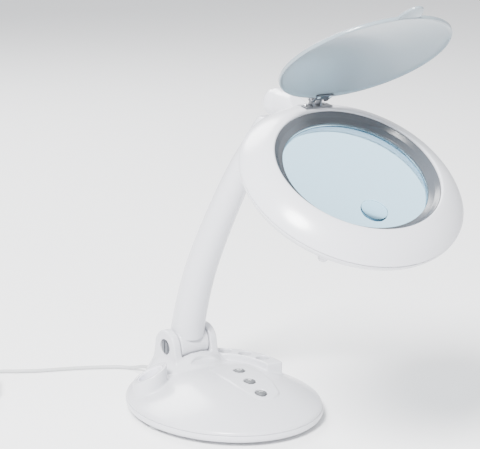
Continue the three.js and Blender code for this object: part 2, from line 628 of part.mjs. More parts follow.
function hingeLeaf() {
  const [left, right] = [LEAF_SIDES[0][0], LEAF_SIDES[1][1]];
  return without(joined([
    block(left, right, RIVET_Y - 2.6, -1.4, LEAF_Z, LEAF_Z + 1.1),
    ...LEAF_SIDES.map(([a, b]) => crossBar(2.3, a, b, 16)),
    ...LEAF_SIDES.map(([a, b]) => block(a, b, -2.2, 0, LEAF_Z, 0.6)),
  ]), [
    crossBar(1.1 + GAP / 2, -20, 20, 12),
    crossBar(3.1, LEAF_SIDES[0][1], LEAF_SIDES[1][0], 16),
    block(LEAF_SIDES[0][1], LEAF_SIDES[1][0], -5, 1, LEAF_Z - 2, LEAF_Z + 2),
    ...rivetHoles(1.1, -9, 9),
  ]);
}

class SpringLine extends THREE.Curve {
  getPoint(t, target = new THREE.Vector3()) {
    const a = 2 * Math.PI * 3 * t;
    return target.set(-4.1 + 4 * t, 2 * Math.cos(a), 2 * Math.sin(a));
  }
}

function roundLine(curve, r, steps, curveSegments) {
  const shape = new THREE.Shape();
  shape.absarc(0, 0, r, 0, 2 * Math.PI, false);
  return solid(new THREE.ExtrudeGeometry(shape, { steps, bevelEnabled: false, curveSegments, extrudePath: curve }));
}

const torsionSpring = () => roundLine(new SpringLine(), 0.45, 30, 2);

const lidRivet = (x) => turned([
  [0, LEAF_Z - 1], [1.9, LEAF_Z - 0.3], [0.8, LEAF_Z - 0.3], [0.8, -LID_DROP + 1.2], [0, -LID_DROP + 1.2],
], 12).translate([x, RIVET_Y, 0]);

// A shallow dished disc with a rolled rim and a finger tab at the front.
function lid() {
  const skin = [];
  for (let i = 0; i <= 6; i++) {
    const r = ((LID_R - 1) * i) / 6;
    skin.push([r, 1.6 + LID_RISE * (1 - (r / LID_R) ** 2)]);
  }
  const under = skin.map(([r, z]) => [Math.min(r, LID_R - 2.4), z - LID_WALL]).reverse();
  const disc = turned([...skin, [LID_R, 1], [LID_R, -1], [LID_R - 1.2, -1.4], ...under]);
  const tabShape = new THREE.Shape();
  const [half, root, shoulder] = [TAB_W / 2, -LID_R + 6, -TAB_TIP + 10];
  tabShape.moveTo(half, root);
  tabShape.lineTo(-half, root);
  tabShape.bezierCurveTo(-half, shoulder, -half + 3, -TAB_TIP, 0, -TAB_TIP);
  tabShape.bezierCurveTo(half - 3, -TAB_TIP, half, shoulder, half, root);
  const tab = raised(tabShape, -0.9, 1.1, 8).translate([TAB_X, 0, 0]);
  return without(joined([disc, tab]).translate([0, -LID_REACH, -LID_DROP]), [
    ...rivetHoles(1.1, -6, -LID_DROP + 1.6),
    block(-11, 7, RIVET_Y - 3, 4, -12, LEAF_Z + 1.4),
  ]);
}

// ---- Cord ---------------------------------------------------------------------------------
const cordLead = () =>
  roundLine(new THREE.CatmullRomCurve3(CORD_ROUTE.map((p) => new THREE.Vector3(...p))), CORD_R, 30, 4);

const coilSpan = [COIL.mid - COIL.half, COIL.mid + COIL.half];
const cordCoil = () => tube(...coilSpan, 0.1, COIL.height, 32).translate([COIL.x, COIL.y, 0]);

function cordTie() {
  const [inner, outer] = [coilSpan[0] - 3 * GAP, coilSpan[1] + GAP];
  return block(-4, 4, inner - 1, outer + 1, 0.1, COIL.height + 1.6)
    .subtract(block(-5, 5, inner, outer, -1, COIL.height + GAP))
    .rotate([0, 0, -60]).translate([COIL.x, COIL.y, 0]);
}

// A small plug-in power supply with two flat blades.
function powerSupply() {
  const body = block(-15, 15, -21, 21, 0.2, 24);
  const blades = [-6, 6].map((x) => block(x - 0.8, x + 0.8, -37, -20, 9, 15));
  return joined([body, ...blades]).rotate([0, 0, SUPPLY.turn]).translate([SUPPLY.x, SUPPLY.y, 0]);
}

// ---- Assembly -----------------------------------------------------------------------------
const origin = [0, 0, 0];
const base = group(origin,
  piece("base_pan", basePan(), whitePlastic()),
  piece("ballast_plate", ballast(), castIron()),
  piece("base_shell", baseShell(), whitePlastic()),
  piece("pen_cup", penCup(), innerPlastic()),
  piece("control_board", controlBoard(), boardGreen()),
  piece("strain_relief", strainRelief(), cordPlastic()),
  piece("pivot_bolt", pivotBolt(), steel()),
  piece("pivot_nut", pivotNut(), steel()),
);
const repeated = (parent, spots, name, make, material) =>
  spots.forEach((p, i) => parent.add(group(p, piece(`${name}_${i + 1}`, make(), material()))));
repeated(base, PAN_SCREWS, "pan_screw", panScrew, steel);
repeated(base, FOOT_SPOTS, "foot", foot, rubber);
repeated(base, BOARD_SCREWS, "board_screw", boardScrew, steel);
for (const [name, spot] of Object.entries(BUTTONS)) base.add(piece(name, button(spot), greyPlastic()));

const arm = group(origin,
  piece("arm_foot", armFoot(), whitePlastic()),
  piece("arm_tube", armTube(), whitePlastic()),
  piece("arm_spine", armSpine(), steel()),
  piece("arm_lead", armLead(), cordPlastic()),
  piece("arm_socket", armSocket(), whitePlastic()),
  piece("friction_washer_left", frictionWasher(-1), darkSteel()),
  piece("friction_washer_right", frictionWasher(1), darkSteel()),
);

const lidGroup = group(LID_PIN,
  piece("lid_pin", lidPin(), steel()),
  piece("hinge_leaf", hingeLeaf(), darkSteel()),
  piece("lid_spring", torsionSpring(), steel()),
  piece("lid_rivet_left", lidRivet(RIVETS[0]), steel()),
  piece("lid_rivet_right", lidRivet(RIVETS[1]), steel()),
  piece("lid", lid(), lidPlastic()),
);
lidGroup.rotation.x = -LID_OPEN;

const ring = group(RING_CENTRE,
  piece("head_upper_shell", upperShell(), whitePlastic()),
  piece("head_lower_shell", lowerShell(), whitePlastic()),
  piece("lens_bezel", bezel(), innerPlastic()),
  piece("main_lens", mainLens(), clearGlass()),
  piece("insert_lens", insertLens(), clearGlass()),
  piece("lens_ring", lensRing(), innerPlastic()),
  piece("light_frame", lightFrame(), darkPlastic()),
  piece("led_board", ledBoard(), boardWhite()),
  piece("light_diffuser", diffuserRing(), diffuser()),
  piece("hinge_bracket", hingeBracket(), darkSteel()),
  piece("hinge_screw_left", hingeScrew(hingeScrewSpots[0]), steel()),
  piece("hinge_screw_right", hingeScrew(hingeScrewSpots[1]), steel()),
  piece("hinge_cover", hingeCover(), whitePlastic()),
  lidGroup,
);
repeated(ring, headScrewSpots, "head_screw", headScrew, steel);

const head = group(origin, piece("neck_pin", neckPin(), steel()), ring);
head.rotation.x = TILT;

const neck = group(NECK, piece("neck_knuckle", neckKnuckle(), darkSteel()), head);
neck.rotation.z = SWIVEL;

const cord = group(origin,
  piece("cord_lead", cordLead(), cordPlastic()),
  piece("cord_coil", cordCoil(), cordPlastic()),
  piece("cord_tie", cordTie(), darkPlastic()),
  piece("power_supply", powerSupply(), whitePlastic()),
);

export default group(BASE_CENTRE, base, arm, neck, cord);
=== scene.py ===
import math

import bmesh
import bpy
import numpy as np
from mathutils import Matrix, Vector


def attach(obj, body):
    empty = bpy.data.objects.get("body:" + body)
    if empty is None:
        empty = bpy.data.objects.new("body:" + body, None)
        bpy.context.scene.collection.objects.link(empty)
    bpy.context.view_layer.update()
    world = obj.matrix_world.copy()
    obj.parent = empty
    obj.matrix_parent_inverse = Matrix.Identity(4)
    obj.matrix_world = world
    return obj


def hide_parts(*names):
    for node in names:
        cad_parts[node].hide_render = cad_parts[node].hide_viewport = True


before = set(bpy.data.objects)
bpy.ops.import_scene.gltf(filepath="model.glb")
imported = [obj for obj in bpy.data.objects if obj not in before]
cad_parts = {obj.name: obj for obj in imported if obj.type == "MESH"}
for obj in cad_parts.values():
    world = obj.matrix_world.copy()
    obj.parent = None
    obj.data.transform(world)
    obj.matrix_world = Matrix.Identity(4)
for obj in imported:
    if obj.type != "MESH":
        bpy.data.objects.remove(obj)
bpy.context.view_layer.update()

# ---- Camera -------------------------------------------------------------------------------
# The lamp is looked at from its front left, a little above its own height, through a long lens.
view_data = bpy.data.cameras.new("view")
view_data.sensor_width, view_data.lens = 36.0, 120.4
view = bpy.data.objects.new("view", view_data)
bpy.context.scene.collection.objects.link(view)
bpy.context.scene.camera = view
looked_at = Vector((0.0228, 0.0798, 0.1850))
view.location = Vector((-0.8731, -1.0669, 0.5491))
view.rotation_euler = (looked_at - view.location).to_track_quat("-Z", "Y").to_euler()


# ---- Cord ---------------------------------------------------------------------------------
# A thin round low-voltage lead in satin grey PVC. It leaves the back of the base, drops to the
# table and runs off to the left, where the rest is wound up beside its plug-in power supply.
class Socket:
    """One output of a finish's nodes, with arithmetic that adds Math nodes."""

    def __init__(self, finish, out):
        self.finish, self.out = finish, out

    def _with(self, operation, a, b):
        return self.finish.make("ShaderNodeMath", {"operation": operation}, {0: a, 1: b})

    def __add__(self, other):
        return self._with("ADD", self, other)

    def __mul__(self, other):
        return self._with("MULTIPLY", self, other)

    __radd__, __rmul__ = __add__, __mul__


class Finish:
    """A material under construction: a principled shader and the nodes that feed it."""

    def __init__(self, name, **fixed):
        self.material = bpy.data.materials.new(name)
        self.material.use_nodes = True
        self.tree = self.material.node_tree
        self.shader = self.tree.nodes["Principled BSDF"]
        self.at = self.make("ShaderNodeTexCoord", output="Object")
        for socket, value in fixed.items():
            self.shader.inputs[socket.replace("_", " ")].default_value = value

    def make(self, kind, settings=None, sockets=None, output=0):
        node = self.tree.nodes.new(kind)
        for key, value in (settings or {}).items():
            setattr(node, key, value)
        for key, value in (sockets or {}).items():
            self.feed(node.inputs[key], value)
        return Socket(self, node.outputs[output])

    def feed(self, socket, value):
        if isinstance(value, Socket):
            self.tree.links.new(value.out, socket)
        else:
            socket.default_value = value

    def noise(self, scale, detail=2.0, stretch=(1, 1, 1)):
        at = self.make("ShaderNodeMapping", {}, {"Vector": self.at, "Scale": stretch})
        return self.make("ShaderNodeTexNoise", {}, {"Vector": at, "Scale": scale, "Detail": detail})

    def mix(self, factor, first, second):
        settings = {"data_type": "RGBA", "clamp_factor": True}
        return self.make("ShaderNodeMix", settings, {0: factor, 6: first, 7: second}, output=2)

    def bumped(self, height, depth):
        sockets = {"Distance": depth, "Height": height}
        self.feed(self.shader.inputs["Normal"], self.make("ShaderNodeBump", {}, sockets))
        return self


def shade(red, green, blue):
    return (red, green, blue, 1.0)


def moulded(name, light, dark, roughness, grain=0.00002, coat=0.0):
    """Moulded plastic: faint clouding in its colour, uneven gloss and a fine skin."""
    finish = Finish(name)
    cloud, skin = finish.noise(14.0), finish.noise(1500.0, 3.0)
    rub = finish.noise(90.0, 4.0)
    finish.feed(finish.shader.inputs["Base Color"], finish.mix(cloud, dark, light))
    gloss = roughness - 0.05 + 0.06 * cloud + 0.05 * rub
    finish.feed(finish.shader.inputs["Roughness"], gloss)
    finish.shader.inputs["Coat Weight"].default_value = coat
    finish.shader.inputs["Coat Roughness"].default_value = 0.12
    return finish.bumped(skin, grain).material


def piece(name, points, faces, material, body, slot, stands_for=(), sharp=40.0):
    """Puts a finished mesh, given in millimetres, in the scene and on its body."""
    mesh = bpy.data.meshes.new(name)
    mesh.from_pydata([tuple(0.001 * c for c in p) for p in points], [], faces)
    mesh.materials.append(material)
    mesh.shade_smooth()
    mesh.set_sharp_from_angle(angle=math.radians(sharp))
    made = bpy.data.objects.new(name, mesh)
    bpy.context.scene.collection.objects.link(made)
    return settled(made, body, stands_for)


def settled(made, body, stands_for=()):
    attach(made, body)
    if stands_for:
        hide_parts(*stands_for)
    return made


def smooth_line(knots, spacing):
    """Points at an even spacing on the smooth curve through the knots."""
    p = np.array(knots, float)
    p = np.vstack([2 * p[0] - p[1], p, 2 * p[-1] - p[-2]])
    gaps = np.sqrt(np.linalg.norm(np.diff(p, axis=0), axis=1))
    t = np.linspace(0, 1, 24, endpoint=False)[:, None]
    runs = []
    for i in range(1, len(p) - 2):
        a, b, c, d = p[i - 1:i + 3]
        g0, g1, g2 = gaps[i - 1:i + 2]
        leave = ((b - a) / g0 - (c - a) / (g0 + g1) + (c - b) / g1) * g1
        arrive = ((c - b) / g1 - (d - b) / (g1 + g2) + (d - c) / g2) * g1
        square, cube = 3 * (c - b) - 2 * leave - arrive, 2 * (b - c) + leave + arrive
        runs.append(b + leave * t + square * t**2 + cube * t**3)
    fine = np.vstack([*runs, p[-2:-1]])
    along = np.concatenate([[0], np.cumsum(np.linalg.norm(np.diff(fine, axis=0), axis=1))])
    count = max(2, int(round(along[-1] / spacing)) + 1)
    wanted = np.linspace(0, along[-1], count)
    return np.column_stack([np.interp(wanted, along, fine[:, k]) for k in range(3)])


base_centre = np.array([12.5, 92.5, 0.0])
lead_r = 1.8
cord_route = [
    (0, 129.3, 8), (-0.3, 134, 7.4), (-1.2, 140, 5.7), (-2.8, 146.5, 3.5), (-5.6, 153, 2.2),
    (-10, 159, 1.9), (-16.5, 165, 1.9), (-25, 171, 1.9), (-36.9, 178.6, 1.9),
    (-50.2, 186.4, 1.9), (-64.4, 193.4, 1.9), (-77.5, 199.6, 1.9), (-89, 206, 1.9),
    (-100.1, 213.4, 1.9), (-111, 221.8, 1.9), (-121.5, 230.2, 1.9),
]
coil_centre, coil_pitch, coil_step = np.array([-154.0, 229.0, 0.0]), 3.68, 3.7
coil_turns = [26.9 - coil_pitch * k for k in range(5)]
rise_at, jog_at, shift = 90.0, 150.0, 50.0


def eased(angle, start, span=shift):
    s = min(1.0, max(0.0, (angle - start) / span))
    return s * s * (3 - 2 * s)


def coil_place(angle):
    """Radius and height of the wound lead at an angle: even turns, each with one short jog."""
    radius, height = coil_turns[0] + 5.6 * (1 - eased(angle, 2.0, 55.0)), 1.9
    jogs, rises = [], []
    turn = 0
    for layer in range(3):
        for k in range(4):
            jogs.append((jog_at + 360 * turn, -1 if layer != 1 else 1))
            turn += 1
        if layer < 2:
            rises.append(rise_at + 360 * turn)
    radius += sum(way * coil_pitch * eased(angle, start) for start, way in jogs)
    height += sum(coil_step * eased(angle, start) for start in rises)
    height += coil_step * eased(angle, 360 * turn + 100.0, 80.0)
    return radius, height


coil_points = []
last_angle = 360.0 * 12 + 180.0
for angle in np.arange(14.0, last_angle + 1, 12.0):
    radius, height = coil_place(angle)
    a = math.radians(angle)
    coil_points.append(coil_centre + (radius * math.cos(a), radius * math.sin(a), height))
to_supply = [coil_centre + p for p in [
    (-11.0, -7.2, 13.05), (-7.0, -14.0, 13.1), (-3.6, -21.0, 13.1), (-2.4, -27.4, 12.9),
    (-4.1, -32.8, 12.0),
]]
lead_line = smooth_line([*cord_route, *coil_points, *to_supply], 3.0) + base_centre

lead_curve = bpy.data.curves.new("lead", "CURVE")
lead_curve.dimensions = "3D"
lead_curve.bevel_depth, lead_curve.bevel_resolution = 0.001 * lead_r, 3
lead_curve.use_fill_caps = True
spline = lead_curve.splines.new("POLY")
spline.points.add(len(lead_line) - 1)
for point, place in zip(spline.points, lead_line):
    point.co = (*(0.001 * place), 1.0)
spline.use_smooth = True
cord_pvc = moulded("cord_pvc", shade(0.50, 0.51, 0.51), shade(0.45, 0.46, 0.47), 0.42, 0.00003)
lead_curve.materials.append(cord_pvc)
lead = bpy.data.objects.new("lead", lead_curve)
bpy.context.scene.collection.objects.link(lead)
settled(lead, "base", ("cord_lead", "cord_coil"))


def turned(profile, sides=96):
    """Points and faces of a closed (radius, height) outline turned about Z, facing out."""
    outline = list(profile)
    area = sum(r * w - s * z for (r, z), (s, w) in zip(outline, outline[1:] + outline[:1]))
    if area < 0:
        outline.reverse()
    points, rows = [], []
    for r, z in outline:
        if r <= 0:
            rows.append([len(points)] * sides)
            points.append((0.0, 0.0, z))
        else:
            rows.append(list(range(len(points), len(points) + sides)))
            for j in range(sides):
                a = 2 * math.pi * j / sides
                points.append((r * math.cos(a), r * math.sin(a), z))
    faces = []
    for low, high in zip(rows, rows[1:] + rows[:1]):
        for j in range(sides):
            k = (j + 1) % sides
            face = list(dict.fromkeys([low[j], low[k], high[k], high[j]]))
            if len(face) > 2:
                faces.append(face)
    return points, faces


def eased_edges(outline, radius, steps=3):
    """The outline with each corner off the axis rounded to about the radius."""
    p = [np.array(q, float) for q in outline]
    soft = []
    for before, corner, after in zip(p[-1:] + p[:-1], p, p[1:] + p[:1]):
        if corner[0] <= 0:
            soft.append(tuple(corner))
            continue
        reach = [min(radius, 0.45 * np.linalg.norm(q - corner)) for q in (before, after)]
        start, end = (corner + (q - corner) / max(1e-9, np.linalg.norm(q - corner)) * d
                      for q, d in zip((before, after), reach))
        for i in range(steps + 1):
            t = i / steps
            soft.append(tuple((1 - t)**2 * start + 2 * t * (1 - t) * corner + t * t * end))
    return soft


def placed(shape, matrix):
    points, faces = shape
    return [tuple(matrix @ Vector(p)) for p in points], faces


def added(*shapes):
    points, faces = [], []
    for more, theirs in shapes:
        faces += [[len(points) + i for i in face] for face in theirs]
        points += more
    return points, faces


# ---- Strain relief ------------------------------------------------------------------------
# A tapered soft PVC sleeve with rings cut into it, held in a notch at the back of the pan.
relief_outline = [(0, -6.5), (3.9, -6.5), (3.9, 1.2)]
for ring in range(6):
    z, r = 2.6 + 3.2 * ring, 3.7 - 0.23 * ring
    relief_outline += [(r, z - 0.9), (r - 0.12, z + 0.9), (r - 0.75, z + 1.2), (r - 0.8, z + 1.9)]
relief_outline += [(2.3, 22.4), (2.15, 24.0), (0, 24.0)]
relief_at = Matrix.Translation((12.5, 92.5 + 105.0, 8.0)) @ Matrix.Rotation(-math.pi / 2, 4, "X")
relief = piece("strain_sleeve", *placed(turned(eased_edges(relief_outline, 0.2), 40), relief_at),
               cord_pvc, "base", "cord_plastic", ("strain_relief",))

# ---- Power supply -------------------------------------------------------------------------
# A plug-in block in white plastic: two half shells with a parting groove, finger ribs on its
# sides and two flat plated blades. It lies on the table against the coil.
white_shell = moulded("white_shell", shade(0.62, 0.625, 0.66), shade(0.59, 0.595, 0.635), 0.24,
                      0.000012, 0.15)


def rounded_block(size, centre, radius):
    """A block with rounded edges, as points and faces, in millimetres."""
    form = bmesh.new()
    bmesh.ops.create_cube(form, size=1.0)
    bmesh.ops.scale(form, vec=size, verts=form.verts)
    bmesh.ops.bevel(form, geom=form.edges[:], offset=radius, segments=4, affect="EDGES",
                    profile=0.5)
    bmesh.ops.recalc_face_normals(form, faces=form.faces)
    form.verts.ensure_lookup_table()
    points = [tuple(v.co + Vector(centre)) for v in form.verts]
    faces = [[v.index for v in f.verts] for f in form.faces]
    form.free()
    return points, faces


supply_at = (Matrix.Translation((12.5 - 168.0, 92.5 + 178.0, 0.0))
             @ Matrix.Rotation(math.radians(-29.0), 4, "Z"))
supply_shell = added(rounded_block((30, 42, 12.4), (0, 0, 6.4), 2.6),
                     rounded_block((29.4, 41.4, 11), (0, 0, 12.5), 2.4),
                     rounded_block((30, 42, 11.2), (0, 0, 18.5), 2.6))
ribs = [rounded_block((30.4, 1.2, 9), (0, y, 12), 0.5) for y in (4, 7, 10, 13)]
collar = placed(turned(eased_edges([(0, 0), (3.4, 0), (2.6, 3.0), (0, 3.0)], 0.3), 32),
                Matrix.Translation((0, 19.4, 12)) @ Matrix.Rotation(-math.pi / 2, 4, "X"))
supply = piece("supply_block", *placed(added(supply_shell, *ribs, collar), supply_at),
               white_shell, "base", "white_plastic", ("power_supply",))


def metal(name, colour, roughness, stretch=(1, 1, 1), scratch=0.00002):
    """Plated or machined metal: fine lines one way, with patchy polish."""
    finish = Finish(name, Metallic=1.0)
    lines, patch = finish.noise(700.0, 4.0, stretch), finish.noise(60.0)
    darker = tuple(0.82 * c for c in colour[:3]) + (1.0,)
    finish.feed(finish.shader.inputs["Base Color"], finish.mix(patch, darker, colour))
    finish.feed(finish.shader.inputs["Roughness"], roughness + 0.12 * lines + 0.1 * patch)
    return finish.bumped(lines, scratch).material


plated = metal("plated_steel", shade(0.72, 0.73, 0.75), 0.2, (1, 1, 0.1))
blades = added(*[rounded_block((1.6, 18, 6), (x, -28.5, 12), 0.5) for x in (-6, 6)])
blade_piece = piece("supply_blades", *placed(blades, supply_at), plated, "base", "steel")

# ---- Domed shell of the base --------------------------------------------------------------
# One large white moulding: an oval dome with a saddle and two clevis ears for the arm, a round
# pen cup with a slanted rim, a raised rack with three tool holes, and a tongue of buttons.
wide, long_ = 88.5, 105.0
drawn_out = long_ / wide
dome_low, dome_top, roll = 11.3, 39.5, 2.2
knuckle_y, knuckle_z = 60.3, 53.0
ear_in, ear_out, ear_r = 17.8, 26.0, 16.5


def blended(a, b, k):
    """The lesser of two distances, with a fillet of about k where they meet."""
    h = np.clip(0.5 + 0.5 * (b - a) / k, 0, 1)
    return b * (1 - h) + a * h - k * h * (1 - h)


def cut(a, b, k=0.5):
    return -blended(-a, b, k)


def kept(a, b, k=0.5):
    return -blended(-a, -b, k)


def skin_of(distance, low, high, step):
    """Points and faces of the closed surface where the distance is zero, facing out."""
    axes = [np.arange(a, b + step, step) for a, b in zip(low, high)]
    inside = distance(*np.meshgrid(*axes, indexing="ij")) < 0
    n = np.array(inside.shape)
    count = np.zeros(n - 1, np.int8)
    for i in range(8):
        o = [(i >> k) & 1 for k in range(3)]
        count += inside[o[0]:n[0] - 1 + o[0], o[1]:n[1] - 1 + o[1], o[2]:n[2] - 1 + o[2]]
    mixed = (count > 0) & (count < 8)
    number = np.full(n - 1, -1)
    number[mixed] = np.arange(mixed.sum())
    p = np.argwhere(mixed) * step + np.array(low) + step / 2
    quads = []
    unit = np.eye(3, dtype=int)
    for a in range(3):
        b, c = unit[(a + 1) % 3], unit[(a + 2) % 3]
        first = np.take(inside, range(n[a] - 1), axis=a)
        second = np.take(inside, range(1, n[a]), axis=a)
        for leaving in (True, False):
            at = np.argwhere((first & ~second) if leaving else (second & ~first))
            cells = [at - b - c, at - c, at, at - b]
            quad = np.column_stack([number[tuple(q.T)] for q in cells])
            quads.append(quad if leaving else quad[:, ::-1])
    quads = np.vstack(quads)

    def onto(p, rounds):
        for _ in range(rounds):
            d = distance(*p.T)
            slope = np.column_stack([
                (distance(*(p + 0.05 * u).T) - distance(*(p - 0.05 * u).T)) / 0.1 for u in unit])
            move = slope * (d / np.maximum(0.2, (slope**2).sum(1)))[:, None]
            size = np.linalg.norm(move, axis=1, keepdims=True)
            p = p - move * np.minimum(1, 0.6 * step / np.maximum(size, 1e-9))
        return p

    p = onto(p, 3)
    for _ in range(2):
        total, near = np.zeros_like(p), np.zeros(len(p))
        for k in range(4):
            np.add.at(total, quads[:, k], p[quads[:, k - 1]])
            np.add.at(total, quads[:, k], p[quads[:, (k + 1) % 4]])
            np.add.at(near, quads[:, k], 2)
        p = onto(0.5 * p + 0.5 * total / near[:, None], 2)
    return [tuple(q) for q in p], [tuple(int(i) for i in q) for q in quads]


def ellipsoid(x, y, z, radii):
    a = np.sqrt((x / radii[0])**2 + (y / radii[1])**2 + (z / radii[2])**2)
    b = np.sqrt((x / radii[0]**2)**2 + (y / radii[1]**2)**2 + (z / radii[2]**2)**2)
    return a * (a - 1) / np.maximum(b, 1e-6)


cup = dict(x=-58.0, y=40.0, r=16.5, bore=12.4, top=39.0, floor=15.0)
cup_tilt = math.radians(29.0)
cup_way = (math.cos(math.radians(-35.0)), math.sin(math.radians(-35.0)))


def above_cup(x, y, z, drop=0.0):
    """Height above the slanted rim of the pen cup, square to it."""
    along = (x - cup["x"]) * cup_way[0] + (y - cup["y"]) * cup_way[1]
    return (z - cup["top"] + drop - along * math.tan(cup_tilt)) * math.cos(cup_tilt)


tool_holes = []
for degrees in (46, 26, 6):
    a = math.radians(degrees)
    tool_holes.append((53.9 * math.cos(a), 53.9 * math.sin(a) * drawn_out))
button_spots = {"power_button": (12, -9.4), "brighter_button": (5.6, -33.6),
                "dimmer_button": (1.8, -55.4)}
tongue = np.array([(-8, 14), (-11, -10), (-11, -38), (-8, -60), (-2, -65.5), (8, -66.5),
                   (17, -63), (20, -60), (27, -42), (31.5, -18), (36, 8)], float)


def tongue_edge(x, y):
    """Signed distance to the outline of the raised tongue, negative within it."""
    near = np.full(np.shape(x), 1e9)
    within = np.zeros(np.shape(x), bool)
    for (ax, ay), (bx, by) in zip(tongue, np.roll(tongue, -1, axis=0)):
        ex, ey = bx - ax, by - ay
        t = np.clip(((x - ax) * ex + (y - ay) * ey) / (ex * ex + ey * ey), 0, 1)
        near = np.minimum(near, np.hypot(x - ax - t * ex, y - ay - t * ey))
        crosses = ((ay > y) != (by > y)) & (x < ax + (y - ay) * ex / (ey if ey else 1e-9))
        within ^= crosses
    return np.where(within, -near, near)


mean_reach = 92.0
tongue_fall = math.tan(math.radians(2.0))


def shell_distance(x, y, z):
    share = np.sqrt((x / wide)**2 + (y / long_)**2)
    lean = np.sqrt(1 + (2 * (dome_top - dome_low) * share / mean_reach)**2)
    lift = np.clip(0.5 - tongue_edge(x, y) / 1.6, 0, 1)
    lift = lift * lift * (3 - 2 * lift) * np.clip(0.75 + x * tongue_fall, 0, 3)
    top = dome_low + roll + (dome_top - dome_low - roll) * (1 - share**2)
    dome = kept((z - top - lift) / lean, (share - 1) * mean_reach, 3.0)
    egg = np.where(y < knuckle_y, ellipsoid(x, y - knuckle_y, z - 20, (42, 48, 29)),
                   ellipsoid(x, y - knuckle_y, z - 20, (42, 36, 29)))
    tilt = math.radians(6.0)
    dish_z = (z - 38.7) * math.cos(tilt) - (y - 12.5) * math.sin(tilt)
    dish = kept(np.hypot(x + 1.5, y - 12.5) - 24, -dish_z, 0.4)
    egg = cut(egg, dish, 0.6)
    r = np.hypot(x, y / drawn_out)
    angle = np.degrees(np.arctan2(y / drawn_out, x))
    rack = kept(np.abs(r - 53.9) - 8.4, (np.abs(angle - 25) - 37) * 0.94, 1.6)
    rack = kept(rack, z - 40, 1.4)
    post = kept(np.hypot(x - cup["x"], y - cup["y"]) - cup["r"], above_cup(x, y, z), 1.2)
    d = blended(blended(dome, egg, 2.4), blended(rack, post, 0.5), 2.2)
    d = kept(d, (share - 0.994) * mean_reach, 0.8)
    up, out = z - knuckle_z, np.abs(y - knuckle_y)
    flank = (out - ear_r - 8 * np.maximum(0, -up) / 36) * 0.97
    face = np.where(up > 0, np.hypot(out, up) - ear_r, flank)
    slab = np.abs(np.abs(x) - 0.5 * (ear_in + ear_out)) - 0.5 * (ear_out - ear_in)
    ear = kept(kept(face, slab, 1.6), -up - 38, 1.0)
    d = blended(d, kept(ear, (share - 0.994) * mean_reach, 1.0), 3.0)
    pivot = np.hypot(y - knuckle_y, up)
    between = np.abs(x) - ear_in
    d = cut(d, kept(pivot - 17.7, between, 0.3), 0.5)
    d = cut(d, kept(kept(out - 17.7, between, 0.3), -up, 0.3), 0.5)
    d = cut(d, kept(pivot - 7.8, ear_out - 3.4 - np.abs(x), 0.3), 0.5)
    d = cut(d, pivot - 4.3, 0.4)
    d = cut(d, kept(np.hypot(x - cup["x"], y - cup["y"]) - cup["bore"], cup["floor"] - z, 1), 0.7)
    for hx, hy in tool_holes:
        d = cut(d, kept(np.hypot(x - hx, y - hy) - 6.4, 19 - z, 1), 0.9)
    for hx, hy in button_spots.values():
        d = cut(d, kept(np.hypot(x - hx, y - hy) - 5.8, 22 - z, 0.5), 0.5)
    return kept(d, dome_low - z, 0.3)


shell_skin = skin_of(shell_distance, (-91, -108, 9.5), (91, 108, 72), 1.05)
at_base = Matrix.Translation((12.5, 92.5, 0.0))
piece("domed_shell", *placed(shell_skin, at_base), white_shell, "base", "white_plastic",
      ("base_shell",), 60)

# ---- Pan of the base ----------------------------------------------------------------------
# The oval tray that closes the base from below, in the same white plastic. Its skirt meets the
# dome at a fine parting line, and four screws in sunk holes hold the two together.
pan_outline = eased_edges([(0, 3.8), (84.5, 3.8), (87.3, 5.0), (88.5, 7.4), (88.5, 11.0),
                           (85.9, 11.0), (85.9, 6.2), (0, 6.2)], 0.8)
stretched = at_base @ Matrix.Diagonal((1, drawn_out, 1, 1))
piece("pan", *placed(turned(pan_outline, 160), stretched), white_shell, "base",
      "white_plastic", ("base_pan",), 50)

# ---- Feet and screws ----------------------------------------------------------------------
# Four soft rubber pads under the pan, and cross-headed plated screws: four up through the pan
# and four up through the underside of the head.
rubber = moulded("foot_rubber", shade(0.42, 0.43, 0.44), shade(0.36, 0.37, 0.38), 0.6, 0.00006)
scatter = bpy.data.node_groups.new("copies_on_spots", "GeometryNodeTree")
inlet = {}
for label, kind in [("Spots", "Geometry"), ("Template", "Object"), ("Surface", "Material")]:
    inlet[label] = scatter.interface.new_socket(
        name=label, in_out="INPUT", socket_type="NodeSocket" + kind).identifier
scatter.interface.new_socket(name="Result", in_out="OUTPUT", socket_type="NodeSocketGeometry")
entry = scatter.nodes.new("NodeGroupInput")
template_in = scatter.nodes.new("GeometryNodeObjectInfo")
copies = scatter.nodes.new("GeometryNodeInstanceOnPoints")
real = scatter.nodes.new("GeometryNodeRealizeInstances")
coat = scatter.nodes.new("GeometryNodeSetMaterial")
leave = scatter.nodes.new("NodeGroupOutput")
for start, end in [
    (entry.outputs["Spots"], copies.inputs["Points"]),
    (entry.outputs["Template"], template_in.inputs["Object"]),
    (template_in.outputs["Geometry"], copies.inputs["Instance"]),
    (copies.outputs["Instances"], real.inputs["Geometry"]),
    (real.outputs["Geometry"], coat.inputs["Geometry"]),
    (entry.outputs["Surface"], coat.inputs["Material"]),
    (coat.outputs["Geometry"], leave.inputs["Result"]),
]:
    scatter.links.new(start, end)


